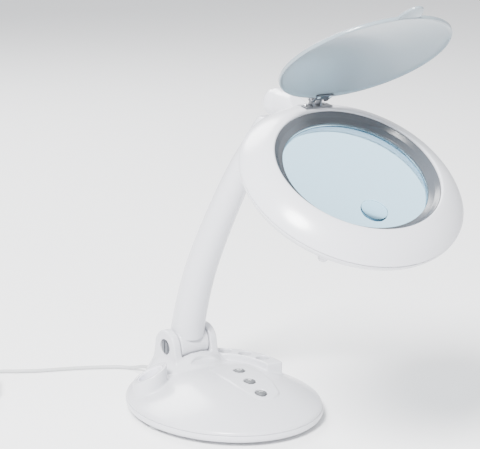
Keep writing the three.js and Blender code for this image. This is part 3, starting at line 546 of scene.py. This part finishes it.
def repeated(name, shape, spots, matrix, material, body, stands_for, sharp=40.0):
    """Copies of one small shape at each spot, made by the tree and then turned to plain mesh."""
    template_mesh = bpy.data.meshes.new(name + "_template")
    template_mesh.from_pydata([tuple(0.001 * c for c in p) for p in shape[0]], [], shape[1])
    template = bpy.data.objects.new(name + "_template", template_mesh)
    spot_mesh = bpy.data.meshes.new(name + "_spots")
    spot_mesh.from_pydata([tuple(0.001 * c for c in p) for p in spots], [], [])
    holder = bpy.data.objects.new(name + "_spots", spot_mesh)
    for o in (template, holder):
        bpy.context.scene.collection.objects.link(o)
    modifier = holder.modifiers.new("copies", "NODES")
    modifier.node_group = scatter
    modifier[inlet["Template"]], modifier[inlet["Surface"]] = template, material
    graph = bpy.context.evaluated_depsgraph_get()
    mesh = bpy.data.meshes.new_from_object(holder.evaluated_get(graph), depsgraph=graph)
    holder.modifiers.remove(modifier)
    bpy.data.objects.remove(holder)
    bpy.data.objects.remove(template)
    metres = matrix.copy()
    metres.translation = 0.001 * matrix.translation
    mesh.transform(metres)
    mesh.name = name
    mesh.shade_smooth()
    mesh.set_sharp_from_angle(angle=math.radians(sharp))
    made = bpy.data.objects.new(name, mesh)
    bpy.context.scene.collection.objects.link(made)
    return settled(made, body, stands_for)


foot_spots = [(78, 0, 0), (0, 86, 0), (-78, 0, 0), (0, -86, 0)]
foot_outline = [(0, 0.0), (4.2, 0.0), (4.4, 0.35), (5.2, 0.35), (5.4, 0), (6.2, 0), (7, 0.9),
                (6.8, 3.7), (0, 3.7)]
repeated("feet", turned(eased_edges(foot_outline, 0.25), 40), foot_spots, at_base, rubber,
         "base", [f"foot_{i}" for i in range(1, 5)])


def cross_screw(head_r, head_h, shank_r, shank_h):
    """A pan-headed screw pointing up, with a cross cut in the head below."""
    head = eased_edges([(0, 0), (head_r, 0), (head_r, head_h), (shank_r, head_h),
                        (shank_r, shank_h), (0, shank_h)], 0.35)
    points, faces = turned(head, 32)
    reach = 0.62 * head_r
    sunk = []
    for x, y, z in points:
        near_axis = min(abs(x), abs(y)) < 0.2 * head_r and max(abs(x), abs(y)) < reach
        sunk.append((x, y, z + 0.7 * head_h if near_axis and z < 0.3 else z))
    return sunk, faces


pan_spots = [(38, -72, 4.2), (-38, -72, 4.2), (34, 76, 4.2), (-34, 76, 4.2)]
repeated("pan_screws", cross_screw(3.7, 1.9, 1.6, 10.0), pan_spots, at_base, plated,
         "base", [f"pan_screw_{i}" for i in range(1, 5)])

# ---- Pen cup liner ------------------------------------------------------------------------
# A thin translucent lilac-grey liner pushed into the cup, cut off along the slanted rim.
liner_plastic = moulded("cup_liner", shade(0.80, 0.80, 0.85), shade(0.76, 0.76, 0.82), 0.4)


def liner_distance(x, y, z):
    r = np.hypot(x - cup["x"], y - cup["y"])
    wall = cut(kept(r - 12.1, 15.3 - z, 0.8), kept(r - 10.7, 17.0 - z, 1.2), 0.3)
    return kept(wall, above_cup(x, y, z, 0.8), 0.4)


liner_skin = skin_of(liner_distance, (-72, 26, 13.5), (-44, 54, 51), 0.55)
piece("cup_liner", *placed(liner_skin, at_base), liner_plastic, "base", "inner_plastic",
      ("pen_cup",), 60)

# ---- Buttons ------------------------------------------------------------------------------
# Three grey push buttons in the tongue: crowned caps on stems, each with a small raised mark.
# The power mark is an open ring with a bar, the other two are a plus and a minus.
button_plastic = moulded("button_grey", shade(0.11, 0.115, 0.125), shade(0.09, 0.095, 0.10), 0.45)
mark_print = moulded("button_mark", shade(0.75, 0.76, 0.78), shade(0.7, 0.71, 0.73), 0.5)


def arc_bar(radius, half_width, start, end, low, high, steps=20):
    """A flat bar bent round Z between two angles in degrees."""
    points, faces = [], []
    for i in range(steps + 1):
        a = math.radians(start + (end - start) * i / steps)
        for r, z in [(radius - half_width, low), (radius + half_width, low),
                     (radius + half_width, high), (radius - half_width, high)]:
            points.append((r * math.cos(a), r * math.sin(a), z))
    for i in range(steps):
        for k in range(4):
            m = (k + 1) % 4
            faces.append([4 * i + k, 4 * i + m, 4 * i + 4 + m, 4 * i + 4 + k])
    return points, [*faces, [3, 2, 1, 0], [4 * steps + k for k in range(4)]]


marks = {
    "power_button": [arc_bar(2.1, 0.28, 125, 415, -0.4, 0.22),
                     rounded_block((0.56, 2.2, 0.6), (0, 1.6, -0.1), 0.1)],
    "brighter_button": [rounded_block((4.4, 0.6, 0.6), (0, 0, -0.1), 0.1),
                        rounded_block((0.6, 4.4, 0.58), (0, 0, -0.1), 0.1)],
    "dimmer_button": [rounded_block((4.4, 0.6, 0.6), (0, 0, -0.1), 0.1)],
}
for name, (x, y) in button_spots.items():
    share = math.hypot(x / wide, y / long_)
    skin = dome_low + roll + (dome_top + 0.5 - dome_low - roll) * (1 - share**2)
    high = skin + x * tongue_fall + 1.0
    cap = [(0, 23.2), (2, 23.2), (2, high - 7), (5.3, high - 7), (5.3, high - 0.9),
           (4.6, high - 0.1), (2.4, high + 0.22), (0, high + 0.3)]
    at_button = at_base @ Matrix.Translation((x, y, 0))
    piece(name + "_cap", *placed(turned(eased_edges(cap, 0.5), 48), at_button), button_plastic,
          name, "grey_plastic", (name,))
    turned_mark = at_button @ Matrix.Translation((0, 0, high + 0.2)) @ Matrix.Rotation(
        math.radians(-12), 4, "Z")
    piece(name + "_mark", *placed(added(*marks[name]), turned_mark), mark_print, name,
          "grey_plastic")

# ---- Arm ----------------------------------------------------------------------------------
# A curved tapering tube in white plastic over a steel spine, plugged onto a barrel that turns
# between the ears. Its top end is closed and flattened under the neck.
arm_knots = [(0, y, z) for y, z in [(60.3, 53), (55.3, 77), (37.3, 129), (5.8, 188),
                                    (-29.7, 243), (-55.7, 275), (-71, 296.5)]]
arm_line = smooth_line(arm_knots, 2.0)


def swept(line, radii, sides=64):
    """A closed round bar along a line in the YZ plane, with the given radius at each point."""
    tangent = np.gradient(line, axis=0)
    tangent /= np.linalg.norm(tangent, axis=1, keepdims=True)
    across = np.cross(tangent, (1, 0, 0))
    points, faces = [], []
    for centre, up, r in zip(line, across, radii):
        for j in range(sides):
            a = 2 * math.pi * j / sides
            points.append(tuple(centre + r * (np.array((math.cos(a), 0, 0)) + math.sin(a) * up)))
    last = sides * (len(line) - 1)
    for i in range(0, last, sides):
        for j in range(sides):
            k = (j + 1) % sides
            faces.append([i + j, i + k, i + sides + k, i + sides + j])
    faces.append(list(range(sides))[::-1])
    faces.append([last + j for j in range(sides)])
    return points, [f[::-1] for f in faces]


share_up = np.linspace(0, 1, len(arm_line))
arm_r = 16.8 - 5.2 * share_up
tube_part = (share_up > 0.03) & (share_up <= 0.94)
piece("arm_skin", *placed(swept(arm_line[tube_part], arm_r[tube_part]), at_base), white_shell,
      "arm", "white_plastic", ("arm_tube",))

barrel = turned(eased_edges([(0, -16.4), (16.0, -16.4), (16.0, 16.4), (0, 16.4)], 1.4, 5), 96)
at_knuckle = at_base @ Matrix.Translation((0, knuckle_y, knuckle_z)) @ Matrix.Rotation(
    math.pi / 2, 4, "Y")
piece("arm_barrel", *placed(barrel, at_knuckle), white_shell, "arm", "white_plastic",
      ("arm_foot",))
washers = added(*[placed(turned(eased_edges([(4.4, -0.35), (13, -0.35), (13, 0.35), (4.4, 0.35)],
                                            0.15), 64), Matrix.Translation((0, 0, side * 17.1)))
                  for side in (-1, 1)])
dark_steel = metal("dark_steel", shade(0.20, 0.21, 0.23), 0.26)
piece("arm_washers", *placed(washers, at_knuckle), dark_steel, "arm", "dark_steel",
      ("friction_washer_left", "friction_washer_right"))

neck = np.array([0.0, -79.5, 311.0])
end_line, end_share = arm_line[share_up > 0.9], share_up[share_up > 0.9]
end_r = 16.8 - 5.2 * end_share - 4.6 * (np.maximum(0, end_share - 0.94) / 0.06)**2


def chain(x, y, z, line, radii):
    """Distance to a row of balls, close enough together to be one smooth bar."""
    d = np.full(np.shape(x), 1e9)
    for (cx, cy, cz), r in zip(line, radii):
        d = np.minimum(d, np.sqrt((x - cx)**2 + (y - cy)**2 + (z - cz)**2) - r)
    return d


fine_end = smooth_line(end_line, 0.7)
fine_end_r = np.interp(np.linspace(0, 1, len(fine_end)), np.linspace(0, 1, len(end_r)), end_r)
cut_share = np.searchsorted(end_share, 0.942) / len(end_share)
start_at = fine_end[int(cut_share * len(fine_end))]
start_way = fine_end[-1] - start_at
start_way = start_way / np.linalg.norm(start_way)


def arm_end_distance(x, y, z):
    bar = chain(x, y, z, fine_end, fine_end_r)
    behind = sum((c - o) * w for c, o, w in zip((x, y, z), start_at, start_way))
    boss = kept(np.hypot(x - neck[0], y - neck[1]) - 7.4, neck[2] - 24 - z, 1)
    d = kept(blended(bar, boss, 3.0), -behind, 0.3)
    d = kept(d, z - (neck[2] - 14.5), 1.6)
    return cut(d, np.hypot(x - neck[0], y - neck[1]) - 4.3, 0.4)


end_skin = skin_of(arm_end_distance, (-14, -96, 262), (14, -40, 300), 0.75)
piece("arm_end", *placed(end_skin, at_base), white_shell, "arm", "white_plastic",
      ("arm_socket",), 50)

# ---- Pivot bolt ---------------------------------------------------------------------------
# A dark steel bolt through both ears, its slotted round head sunk in the left one. The plated
# hexagon nut in the right one gets its finish with the inner parts.
bolt = turned(eased_edges([(0, -25.2), (6.6, -25.2), (6.6, -23.0), (4, -23.0), (4, 25.4),
                           (0, 25.4)], 0.4), 48)
halves, rim_faces = added(*[rounded_block((13.4, 5.6, 1.2), (0, y, -25.2), 0.3)
                            for y in (-3.9, 3.9)])
shrunk = [min(1, 6.2 / max(1e-6, math.hypot(x, y))) for x, y, z in halves]
slotted = [(x * k, y * k, z) for (x, y, z), k in zip(halves, shrunk)], rim_faces
piece("pivot_bolt_turned", *placed(added(bolt, slotted), at_knuckle), dark_steel, "base", "steel",
      ("pivot_bolt",))

# ---- Neck ---------------------------------------------------------------------------------
# A dark steel post and eye that swivels in the arm's end, and the plated pin the head tilts on.
swivel, tilt = math.radians(-9.0), math.radians(32.0)
at_neck = at_base @ Matrix.Translation(neck) @ Matrix.Rotation(swivel, 4, "Z")
crosswise = Matrix.Rotation(math.pi / 2, 4, "Y")
loop = turned(eased_edges([(2.7, -4), (7.4, -4), (7.4, 4), (2.7, 4)], 0.5), 64)
eye = added(placed(loop, crosswise),
            turned(eased_edges([(0, -21.8), (4, -21.8), (4, -5.6), (0, -5.6)], 0.5), 48))
piece("neck_eye", *placed(eye, at_neck), dark_steel, "neck", "dark_steel", ("neck_knuckle",))
at_tilt = at_neck @ Matrix.Rotation(tilt, 4, "X")
pin = turned(eased_edges([(0, -9.7), (2.4, -9.7), (2.4, 9.7), (0, 9.7)], 0.4), 40)
piece("neck_pin_turned", *placed(pin, at_tilt @ crosswise), plated, "head", "steel", ("neck_pin",))

# ---- Upper shell of the head --------------------------------------------------------------
# A white ring moulding whose top slopes full and round from the lip by the lens out to the
# widest edge, where a fine line parts it from the lower shell.
at_ring = at_tilt @ Matrix.Translation((0, -130, 42))
ring_out, crown, crown_r, split, depth = 96.4, -0.6, 72.5, -19.0, 32.3


def ring_arc(start, end, inset, steps):
    points = []
    for i in range(steps + 1):
        a = math.radians(start + (end - start) * i / steps)
        power = 1.5 if a > 0 else 1.04
        high = (crown - split if a > 0 else split + depth) - inset
        points.append((crown_r + (ring_out - crown_r - inset) * math.cos(a) ** power,
                       split + high * math.copysign(abs(math.sin(a)) ** power, a)))
    return points


upper = [(74.1, -4.4), (71.3, -4.0), (71.0, -2.6), (71.15, -1.6), (71.7, -0.85),
         *ring_arc(88, 6, 0, 36), (ring_out, -18.2), (ring_out - 0.25, split + 0.25),
         (ring_out - 2.4, split + 0.25), *ring_arc(8, 72, 2.4, 12)]
piece("ring_top", *placed(turned(upper, 192), at_ring), white_shell, "head", "white_plastic",
      ("head_upper_shell",), 50)


# ---- Lower shell of the head --------------------------------------------------------------
# The round underside of the ring, moulded in one with the neck bar that runs back and down to
# a hollow ball. Four screw pads stand a little proud of it.
def bowl(r, z, inset):
    """Distance to the round underside of the ring, inset by the wall."""
    a, b = ring_out - crown_r - inset, split + depth - inset
    u, v = (r - crown_r) / a, (z - split) / b
    s = np.maximum(1e-6, np.hypot(u, v))
    return (s - 1) * s / np.maximum(1e-6, np.hypot(u / a, v / b))


neck_line = smooth_line([(0, 88, -24), (0, 102, -27), (0, 116, -33), (0, 130, -42)], 1.5)
neck_radii = 9.8 + 2.2 * np.linspace(0, 1, len(neck_line))
pad_spots = [(88 * math.cos(math.radians(a)), 88 * math.sin(math.radians(a)))
             for a in (48, 138, 228, 318)]


def under_distance(x, y, z):
    r = np.hypot(x, y)
    outer = kept(bowl(r, z, 0), 84 - r, 0.8)
    bar = kept(chain(x, y, z, neck_line, neck_radii), 86 - y, 1.0)
    ball = np.sqrt(x**2 + (y - 130)**2 + (z + 42)**2) - 12
    d = blended(outer, blended(bar, ball, 4.0), 5.0)
    for px, py in pad_spots:
        d = blended(d, kept(np.hypot(x - px, y - py) - 4.1, np.abs(z + 28.9) - 2.3, 0.6), 0.8)
    d = cut(d, kept(bowl(r, z, 2.4), -(84 - r) - 40, 0.5), 0.5)
    d = kept(d, z - split + 0.25, 0.4)
    u, v, w = np.abs(x), y - 130, z + 42
    for a, b, low, high in ((-10, 10, -9, 9), (-10, 30, -40, 9), (-16, 4, -40, -2)):
        hole = np.maximum(np.abs(v - (a + b) / 2) - (b - a) / 2, np.abs(w - (low + high) / 2)
                          - (high - low) / 2)
        d = cut(d, np.maximum(u - 4.6, hole), 0.6)
    for px, py in pad_spots:
        d = cut(d, kept(np.hypot(x - px, y - py) - 2.9, z + 29.5, 0.3), 0.4)
    return d


under_skin = skin_of(under_distance, (-98, -98, -56), (98, 144, -17), 1.1)
piece("ring_underside", *placed(under_skin, at_ring), white_shell, "head", "white_plastic",
      ("head_lower_shell",), 60)
repeated("head_screws", cross_screw(2.6, 1.2, 1.2, 18.0), [(x, y, -31.0) for x, y in pad_spots],
         at_ring, plated, "head", [f"head_screw_{i}" for i in range(1, 5)])

# ---- Lens, its wall and its light ---------------------------------------------------------
# A clear biconvex glass with a small strong lens let into it, seated in a stepped grey wall.
# Under it are the retaining ring, the light frame, a board of diodes and a frosted cover.
wall_grey = moulded("wall_grey", shade(0.085, 0.093, 0.105), shade(0.07, 0.077, 0.09), 0.24)
wall = [(70.7, -2.2), (70.7, -4.3), (72.2, -4.8), (72.2, -14.6), (65.7, -14.6), (65.7, -13.2),
        (62.6, -13.2), (62.5, -8.5), (67.0, -5.8), (69.6, -3.2)]
piece("lens_wall", *placed(turned(eased_edges(wall, 0.4), 192), at_ring), wall_grey, "head",
      "inner_plastic", ("lens_bezel",), 50)



def clear(name, tint):
    """Tinted clear glass whose polish varies faintly, as if wiped."""
    glass = Finish(name, Base_Color=tint, IOR=1.2, Transmission_Weight=1.0)
    smear = glass.noise(30.0)
    glass.feed(glass.shader.inputs["Roughness"], 0.015 + 0.03 * smear)
    return glass.material




def lens_face(level, rise, radius=62.5, steps=24):
    return [(radius * i / steps, level + rise * (1 - (i / steps) ** 2)) for i in range(steps + 1)]


lens_glass = clear("lens_glass", shade(0.50, 0.76, 0.92))
lens = [*lens_face(-10, 2.8), (62.56, -10.2), (62.56, -12.8), *lens_face(-13, -3.4)[::-1]]
piece("lens_turned", *placed(turned(lens, 160), at_ring), lens_glass, "head", "clear_glass",
      ("main_lens",))
small = [*lens_face(-13.05, 0.0, 11.2, 2)[:-1], (11.2, -13.05), (11.4, -13.3), (11.4, -15.4),
         *lens_face(-15.6, -1.6, 11.2, 10)[::-1]]
small_glass = clear("small_lens_glass", shade(0.84, 0.93, 0.97))
at_small = at_ring @ Matrix.Translation((-2, -38.5, 0))
piece("small_lens", *placed(turned(small, 96), at_small), small_glass, "head", "clear_glass",
      ("insert_lens",))

retainer = eased_edges([(62, -17.4), (65.4, -17.4), (65.4, -13.3), (62, -13.3)], 0.4)
piece("lens_retainer", *placed(turned(retainer, 160), at_ring), white_shell, "head",
      "white_plastic", ("lens_ring",))
carrier = eased_edges([(66, -14.9), (82, -14.9), (82, -19.4), (80.6, -19.4), (80.6, -16.3),
                       (67.6, -16.3), (67.6, -23.4), (66, -23.4)], 0.3)
piece("light_carrier", *placed(turned(carrier, 160), at_ring), white_shell, "head",
      "white_plastic", ("light_frame",))
board_white = moulded("light_board", shade(0.8, 0.81, 0.79), shade(0.75, 0.76, 0.74), 0.5)
board = eased_edges([(68.5, -20), (80.2, -20), (80.2, -18.6), (68.5, -18.6)], 0.15)
piece("light_board", *placed(turned(board, 160), at_ring), board_white, "head", "board_white",
      ("led_board",))
diode_yellow = moulded("diode_phosphor", shade(0.85, 0.72, 0.3), shade(0.8, 0.65, 0.25), 0.35)
diode_spots = [(74.3 * math.cos(2 * math.pi * i / 36), 74.3 * math.sin(2 * math.pi * i / 36), 0)
               for i in range(36)]
repeated("diodes", rounded_block((3.2, 2.8, 1.0), (0, 0, -20.5), 0.25), diode_spots, at_ring,
         diode_yellow, "head", [])

frosted = Finish("frosted_cover", Base_Color=shade(0.92, 0.93, 0.92), IOR=1.45)
frosted.shader.inputs["Transmission Weight"].default_value = 0.55
frost = frosted.noise(900.0)
frosted.feed(frosted.shader.inputs["Roughness"], 0.42 + 0.16 * frost)
frosted.bumped(frost, 0.00004)
cover = eased_edges([(66, -24.5), (70, -28.2), (80, -29.6), (83.4, -29.6), (83.4, -27.9),
                     (80.4, -27.9), (71, -26.5), (67.6, -23.8)], 0.4)
piece("light_cover", *placed(turned(cover, 160), at_ring), frosted.material, "head", "diffuser",
      ("light_diffuser",))

# ---- Lid ----------------------------------------------------------------------------------
# A thin domed disc in glossy blue-grey plastic with a rolled rim and a finger tab. It stands
# open on a sprung steel hinge, screwed to the ring's slope behind the lens.
at_pin = at_ring @ Matrix.Translation((0, 78.8, 6.9)) @ Matrix.Rotation(
    math.radians(-65.0), 4, "X")
at_lid = at_pin @ Matrix.Translation((0, -80.5, -3.0))
lid_r, lid_rise = 72.0, 6.0
lid_top = [((lid_r - 1) * i / 24, 1.6 + lid_rise * (1 - ((lid_r - 1) * i / 24 / lid_r) ** 2))
           for i in range(25)]
lid_under = [(min(r, lid_r - 2.4), z - 2.2) for r, z in lid_top][::-1]
disc = turned([*lid_top, (lid_r - 0.35, 1.45), (lid_r, 0.9), (lid_r, -0.8), (lid_r - 0.3, -1.25),
               (lid_r - 1.0, -1.4), (lid_r - 1.8, -1.1), *lid_under], 192)


def flat_plate(outline, low, high, bevel):
    """A plate raised from a flat outline, with rounded edges, as points and faces."""
    form = bmesh.new()
    face = form.faces.new([form.verts.new((x, y, low)) for x, y in outline])
    grown = bmesh.ops.extrude_face_region(form, geom=[face])["geom"]
    lifted = [g for g in grown if isinstance(g, bmesh.types.BMVert)]
    bmesh.ops.translate(form, vec=(0, 0, high - low), verts=lifted)
    bmesh.ops.recalc_face_normals(form, faces=form.faces)
    ends = [e for e in form.edges if abs(e.verts[0].co.z - e.verts[1].co.z) < 1e-6]
    bmesh.ops.bevel(form, geom=ends, offset=bevel, segments=3, affect="EDGES", profile=0.5)
    form.verts.ensure_lookup_table()
    form.verts.index_update()
    points = [tuple(v.co) for v in form.verts]
    faces = [[v.index for v in f.verts] for f in form.faces]
    form.free()
    return points, faces


def bezier(a, b, c, d, steps=14):
    ts = [i / steps for i in range(steps + 1)]
    return [tuple((1 - t)**3 * p + 3 * t * (1 - t)**2 * q + 3 * t * t * (1 - t) * r + t**3 * s
                  for p, q, r, s in zip(a, b, c, d)) for t in ts]


half, root, shoulder, tip = 10.0, -lid_r + 2.2, -78.5, -88.5
tab_outline = [*bezier((-half, root), (-half, shoulder), (-half + 3, tip), (0, tip)),
               *bezier((0, tip), (half - 3, tip), (half, shoulder), (half, root))[1:]]
tab = flat_plate([(x - 1.5, y) for x, y in tab_outline], -0.9, 1.1, 0.6)
lid_finish = Finish("lid_gloss")
lid_cloud, lid_skin = lid_finish.noise(10.0), lid_finish.noise(1200.0, 3.0)
lid_finish.feed(lid_finish.shader.inputs["Base Color"],
                lid_finish.mix(lid_cloud, shade(0.20, 0.245, 0.275), shade(0.235, 0.28, 0.31)))
lid_finish.feed(lid_finish.shader.inputs["Roughness"], 0.12 + 0.06 * lid_cloud)
lid_gloss = lid_finish.bumped(lid_skin, 0.000008).material
piece("lid_disc", *placed(added(disc, tab), at_lid), lid_gloss, "lid", "lid_plastic", ("lid",), 50)

# ---- Lid hinge ----------------------------------------------------------------------------
# Pressed dark steel: a bracket on the ring with two cheeks, a leaf riveted to the lid, a plated
# pin through both, and a wound spring between the cheeks.
slope = at_ring @ Matrix.Translation((0, 77.5, -2.7)) @ Matrix.Rotation(
    math.radians(-26.6), 4, "X")
bracket_parts = [placed(rounded_block((26, 10, 1.1), (0, 0, 0.85), 0.35), slope)]
cheek = [(73.8, -0.6), (82.3, -3.6), (81.4, 7.9)]
cheek += [(78.8 + 2.6 * math.cos(a), 6.9 + 2.6 * math.sin(a))
          for a in [0.4 + i * (math.pi - 0.8) / 12 for i in range(13)]]
upright = Matrix(((0, 0, 1, 0), (1, 0, 0, 0), (0, 1, 0, 0), (0, 0, 0, 1)))
for a, b in ((-6.4, -4.9), (0.7, 2.2)):
    bracket_parts.append(placed(flat_plate(cheek, a, b, 0.25), at_ring @ upright))
piece("hinge_bracket_pressed", *added(*bracket_parts), dark_steel, "head", "dark_steel",
      ("hinge_bracket",))
leaf_outline = [(-10.2, -13.6), (6, -13.6), (6, -1.4), (2.6, -1.4), (2.6, -5), (-6.8, -5),
                (-6.8, -1.4), (-10.2, -1.4)]
leaf_parts = [placed(flat_plate(leaf_outline, -4.7, -3.6, 0.3), at_pin)]
for a, b in ((-10.2, -6.8), (2.6, 6.0)):
    loop = turned(eased_edges([(1.25, a), (2.3, a), (2.3, b), (1.25, b)], 0.25), 40)
    leaf_parts.append(placed(loop, at_pin @ crosswise))
    leaf_parts.append(placed(rounded_block((b - a, 2.2, 4.2), ((a + b) / 2, -1.6, -2.4), 0.3),
                             at_pin))
piece("hinge_leaf_pressed", *added(*leaf_parts), dark_steel, "lid", "dark_steel", ("hinge_leaf",))
rivet = turned(eased_edges([(0, -5.7), (1.2, -5.6), (1.9, -5.0), (0.8, -5.0), (0.8, -1.8),
                            (0, -1.8)], 0.2), 32)
rivets = added(*[placed(rivet, at_pin @ Matrix.Translation((x, -11, 0))) for x in (-7.8, 3.6)])
piece("lid_rivets", *rivets, plated, "lid", "steel", ("lid_rivet_left", "lid_rivet_right"))
hinge_pin = turned(eased_edges([(0, -10.8), (1.1, -10.8), (1.1, 6.6), (0, 6.6)], 0.25), 32)
piece("lid_pin_turned", *placed(hinge_pin, at_pin @ crosswise), plated, "head", "steel",
      ("lid_pin",))
coil_line = [(-4.1 + 4 * t, 2 * math.cos(6 * math.pi * t), 2 * math.sin(6 * math.pi * t))
             for t in [i / 96 for i in range(97)]]


def wire(line, r, sides=10):
    """A closed round wire along any line, its sides carried along without twist."""
    line = np.array(line, float)
    tangent = np.gradient(line, axis=0)
    tangent /= np.linalg.norm(tangent, axis=1, keepdims=True)
    side = np.cross(tangent[0], (0.3, 0.5, 0.8))
    points = []
    for centre, way in zip(line, tangent):
        side = side - way * side.dot(way)
        side /= np.linalg.norm(side)
        other = np.cross(way, side)
        for j in range(sides):
            a = 2 * math.pi * j / sides
            points.append(tuple(centre + r * (math.cos(a) * side + math.sin(a) * other)))
    faces = [list(range(sides))[::-1]]
    for i in range(0, sides * (len(line) - 1), sides):
        for j in range(sides):
            k = (j + 1) % sides
            faces.append([i + j, i + k, i + sides + k, i + sides + j])
    faces.append([sides * (len(line) - 1) + j for j in range(sides)])
    return points, faces


piece("lid_spring_wound", *placed(wire(coil_line, 0.45), at_pin), plated, "lid", "steel",
      ("lid_spring",))
for x, node in ((-9.6, "hinge_screw_left"), (8.2, "hinge_screw_right")):
    dome_screw = turned(eased_edges([(0, -4), (1, -3.2), (1, 1.6), (1.9, 1.6), (1.4, 2.5),
                                     (0, 2.6)], 0.25), 32)
    piece(node + "_turned", *placed(dome_screw, slope @ Matrix.Translation((x, 2.6, 0))), plated,
          "head", "steel", (node,))
hood = []
for degrees, lift in [(a, 1.4) for a in range(50, 18, -3)] + [(a, 0.3) for a in range(20, 52, 3)]:
    hood.append(ring_arc(degrees, degrees, -lift, 1)[0])
hood_plate = flat_plate(hood, -7.3, 7.3, 0.3)
piece("hinge_hood", *placed(hood_plate, at_ring @ upright), white_shell, "head", "white_plastic",
      ("hinge_cover",))

# ---- Inner parts --------------------------------------------------------------------------
# What the shells hide: the cast ballast in the pan, the button board with its screws, the steel
# spine and the lead in the arm, and outside, the strap round the coiled lead.
cast = metal("cast_ballast", shade(0.09, 0.09, 0.095), 0.6, (1, 1, 1), 0.0002)
board_green = moulded("board_green", shade(0.03, 0.14, 0.07), shade(0.025, 0.11, 0.055), 0.4)
strap = moulded("strap_black", shade(0.06, 0.06, 0.065), shade(0.045, 0.045, 0.05), 0.55, 0.00005)
for node, material in {
    "ballast_plate": cast, "control_board": board_green, "board_screw_1": plated,
    "board_screw_2": plated, "arm_spine": plated, "arm_lead": cord_pvc, "pivot_nut": plated,
    "cord_tie": strap,
}.items():
    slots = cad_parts[node].data.materials
    slots.clear()
    slots.append(material)

# ---- Floor and light ----------------------------------------------------------------------
# A plain pale floor that runs past every edge of the picture, a broad soft lamp above the
# camera's left shoulder, a weaker one on the right and an even pale sky.
floor_finish = Finish("floor_paper", Roughness=0.9)
tone = floor_finish.noise(1.5)
floor_finish.feed(floor_finish.shader.inputs["Base Color"],
                  floor_finish.mix(tone, shade(0.93, 0.93, 0.935), shade(0.95, 0.95, 0.955)))
floor_mesh = bpy.data.meshes.new("floor")
floor_mesh.from_pydata([(-12, -12, 0), (12, -12, 0), (12, 12, 0), (-12, 12, 0)], [], [(0, 1, 2, 3)])
floor_mesh.materials.append(floor_finish.material)
floor = bpy.data.objects.new("floor", floor_mesh)
bpy.context.scene.collection.objects.link(floor)


def soft_light(name, place, target, size, power):
    data = bpy.data.lights.new(name, "AREA")
    data.shape, data.size, data.energy = "DISK", size, power
    light = bpy.data.objects.new(name, data)
    light.location = place
    light.rotation_euler = (Vector(target) - Vector(place)).to_track_quat("-Z", "Y").to_euler()
    bpy.context.scene.collection.objects.link(light)


soft_light("main_soft", (-1.5, -0.9, 1.9), (0.0, 0.0, 0.2), 0.8, 230)
soft_light("fill_soft", (1.4, -1.5, 1.0), (0.0, 0.0, 0.2), 1.2, 3)
soft_light("back_soft", (0.4, 1.8, 1.8), (0.0, 0.0, 0.25), 1.2, 70)
sky = bpy.data.worlds.new("pale_sky")
sky.use_nodes = True
sky.node_tree.nodes["Background"].inputs["Color"].default_value = shade(0.95, 0.97, 1.0)
sky.node_tree.nodes["Background"].inputs["Strength"].default_value = 1.1
bpy.context.scene.world = sky
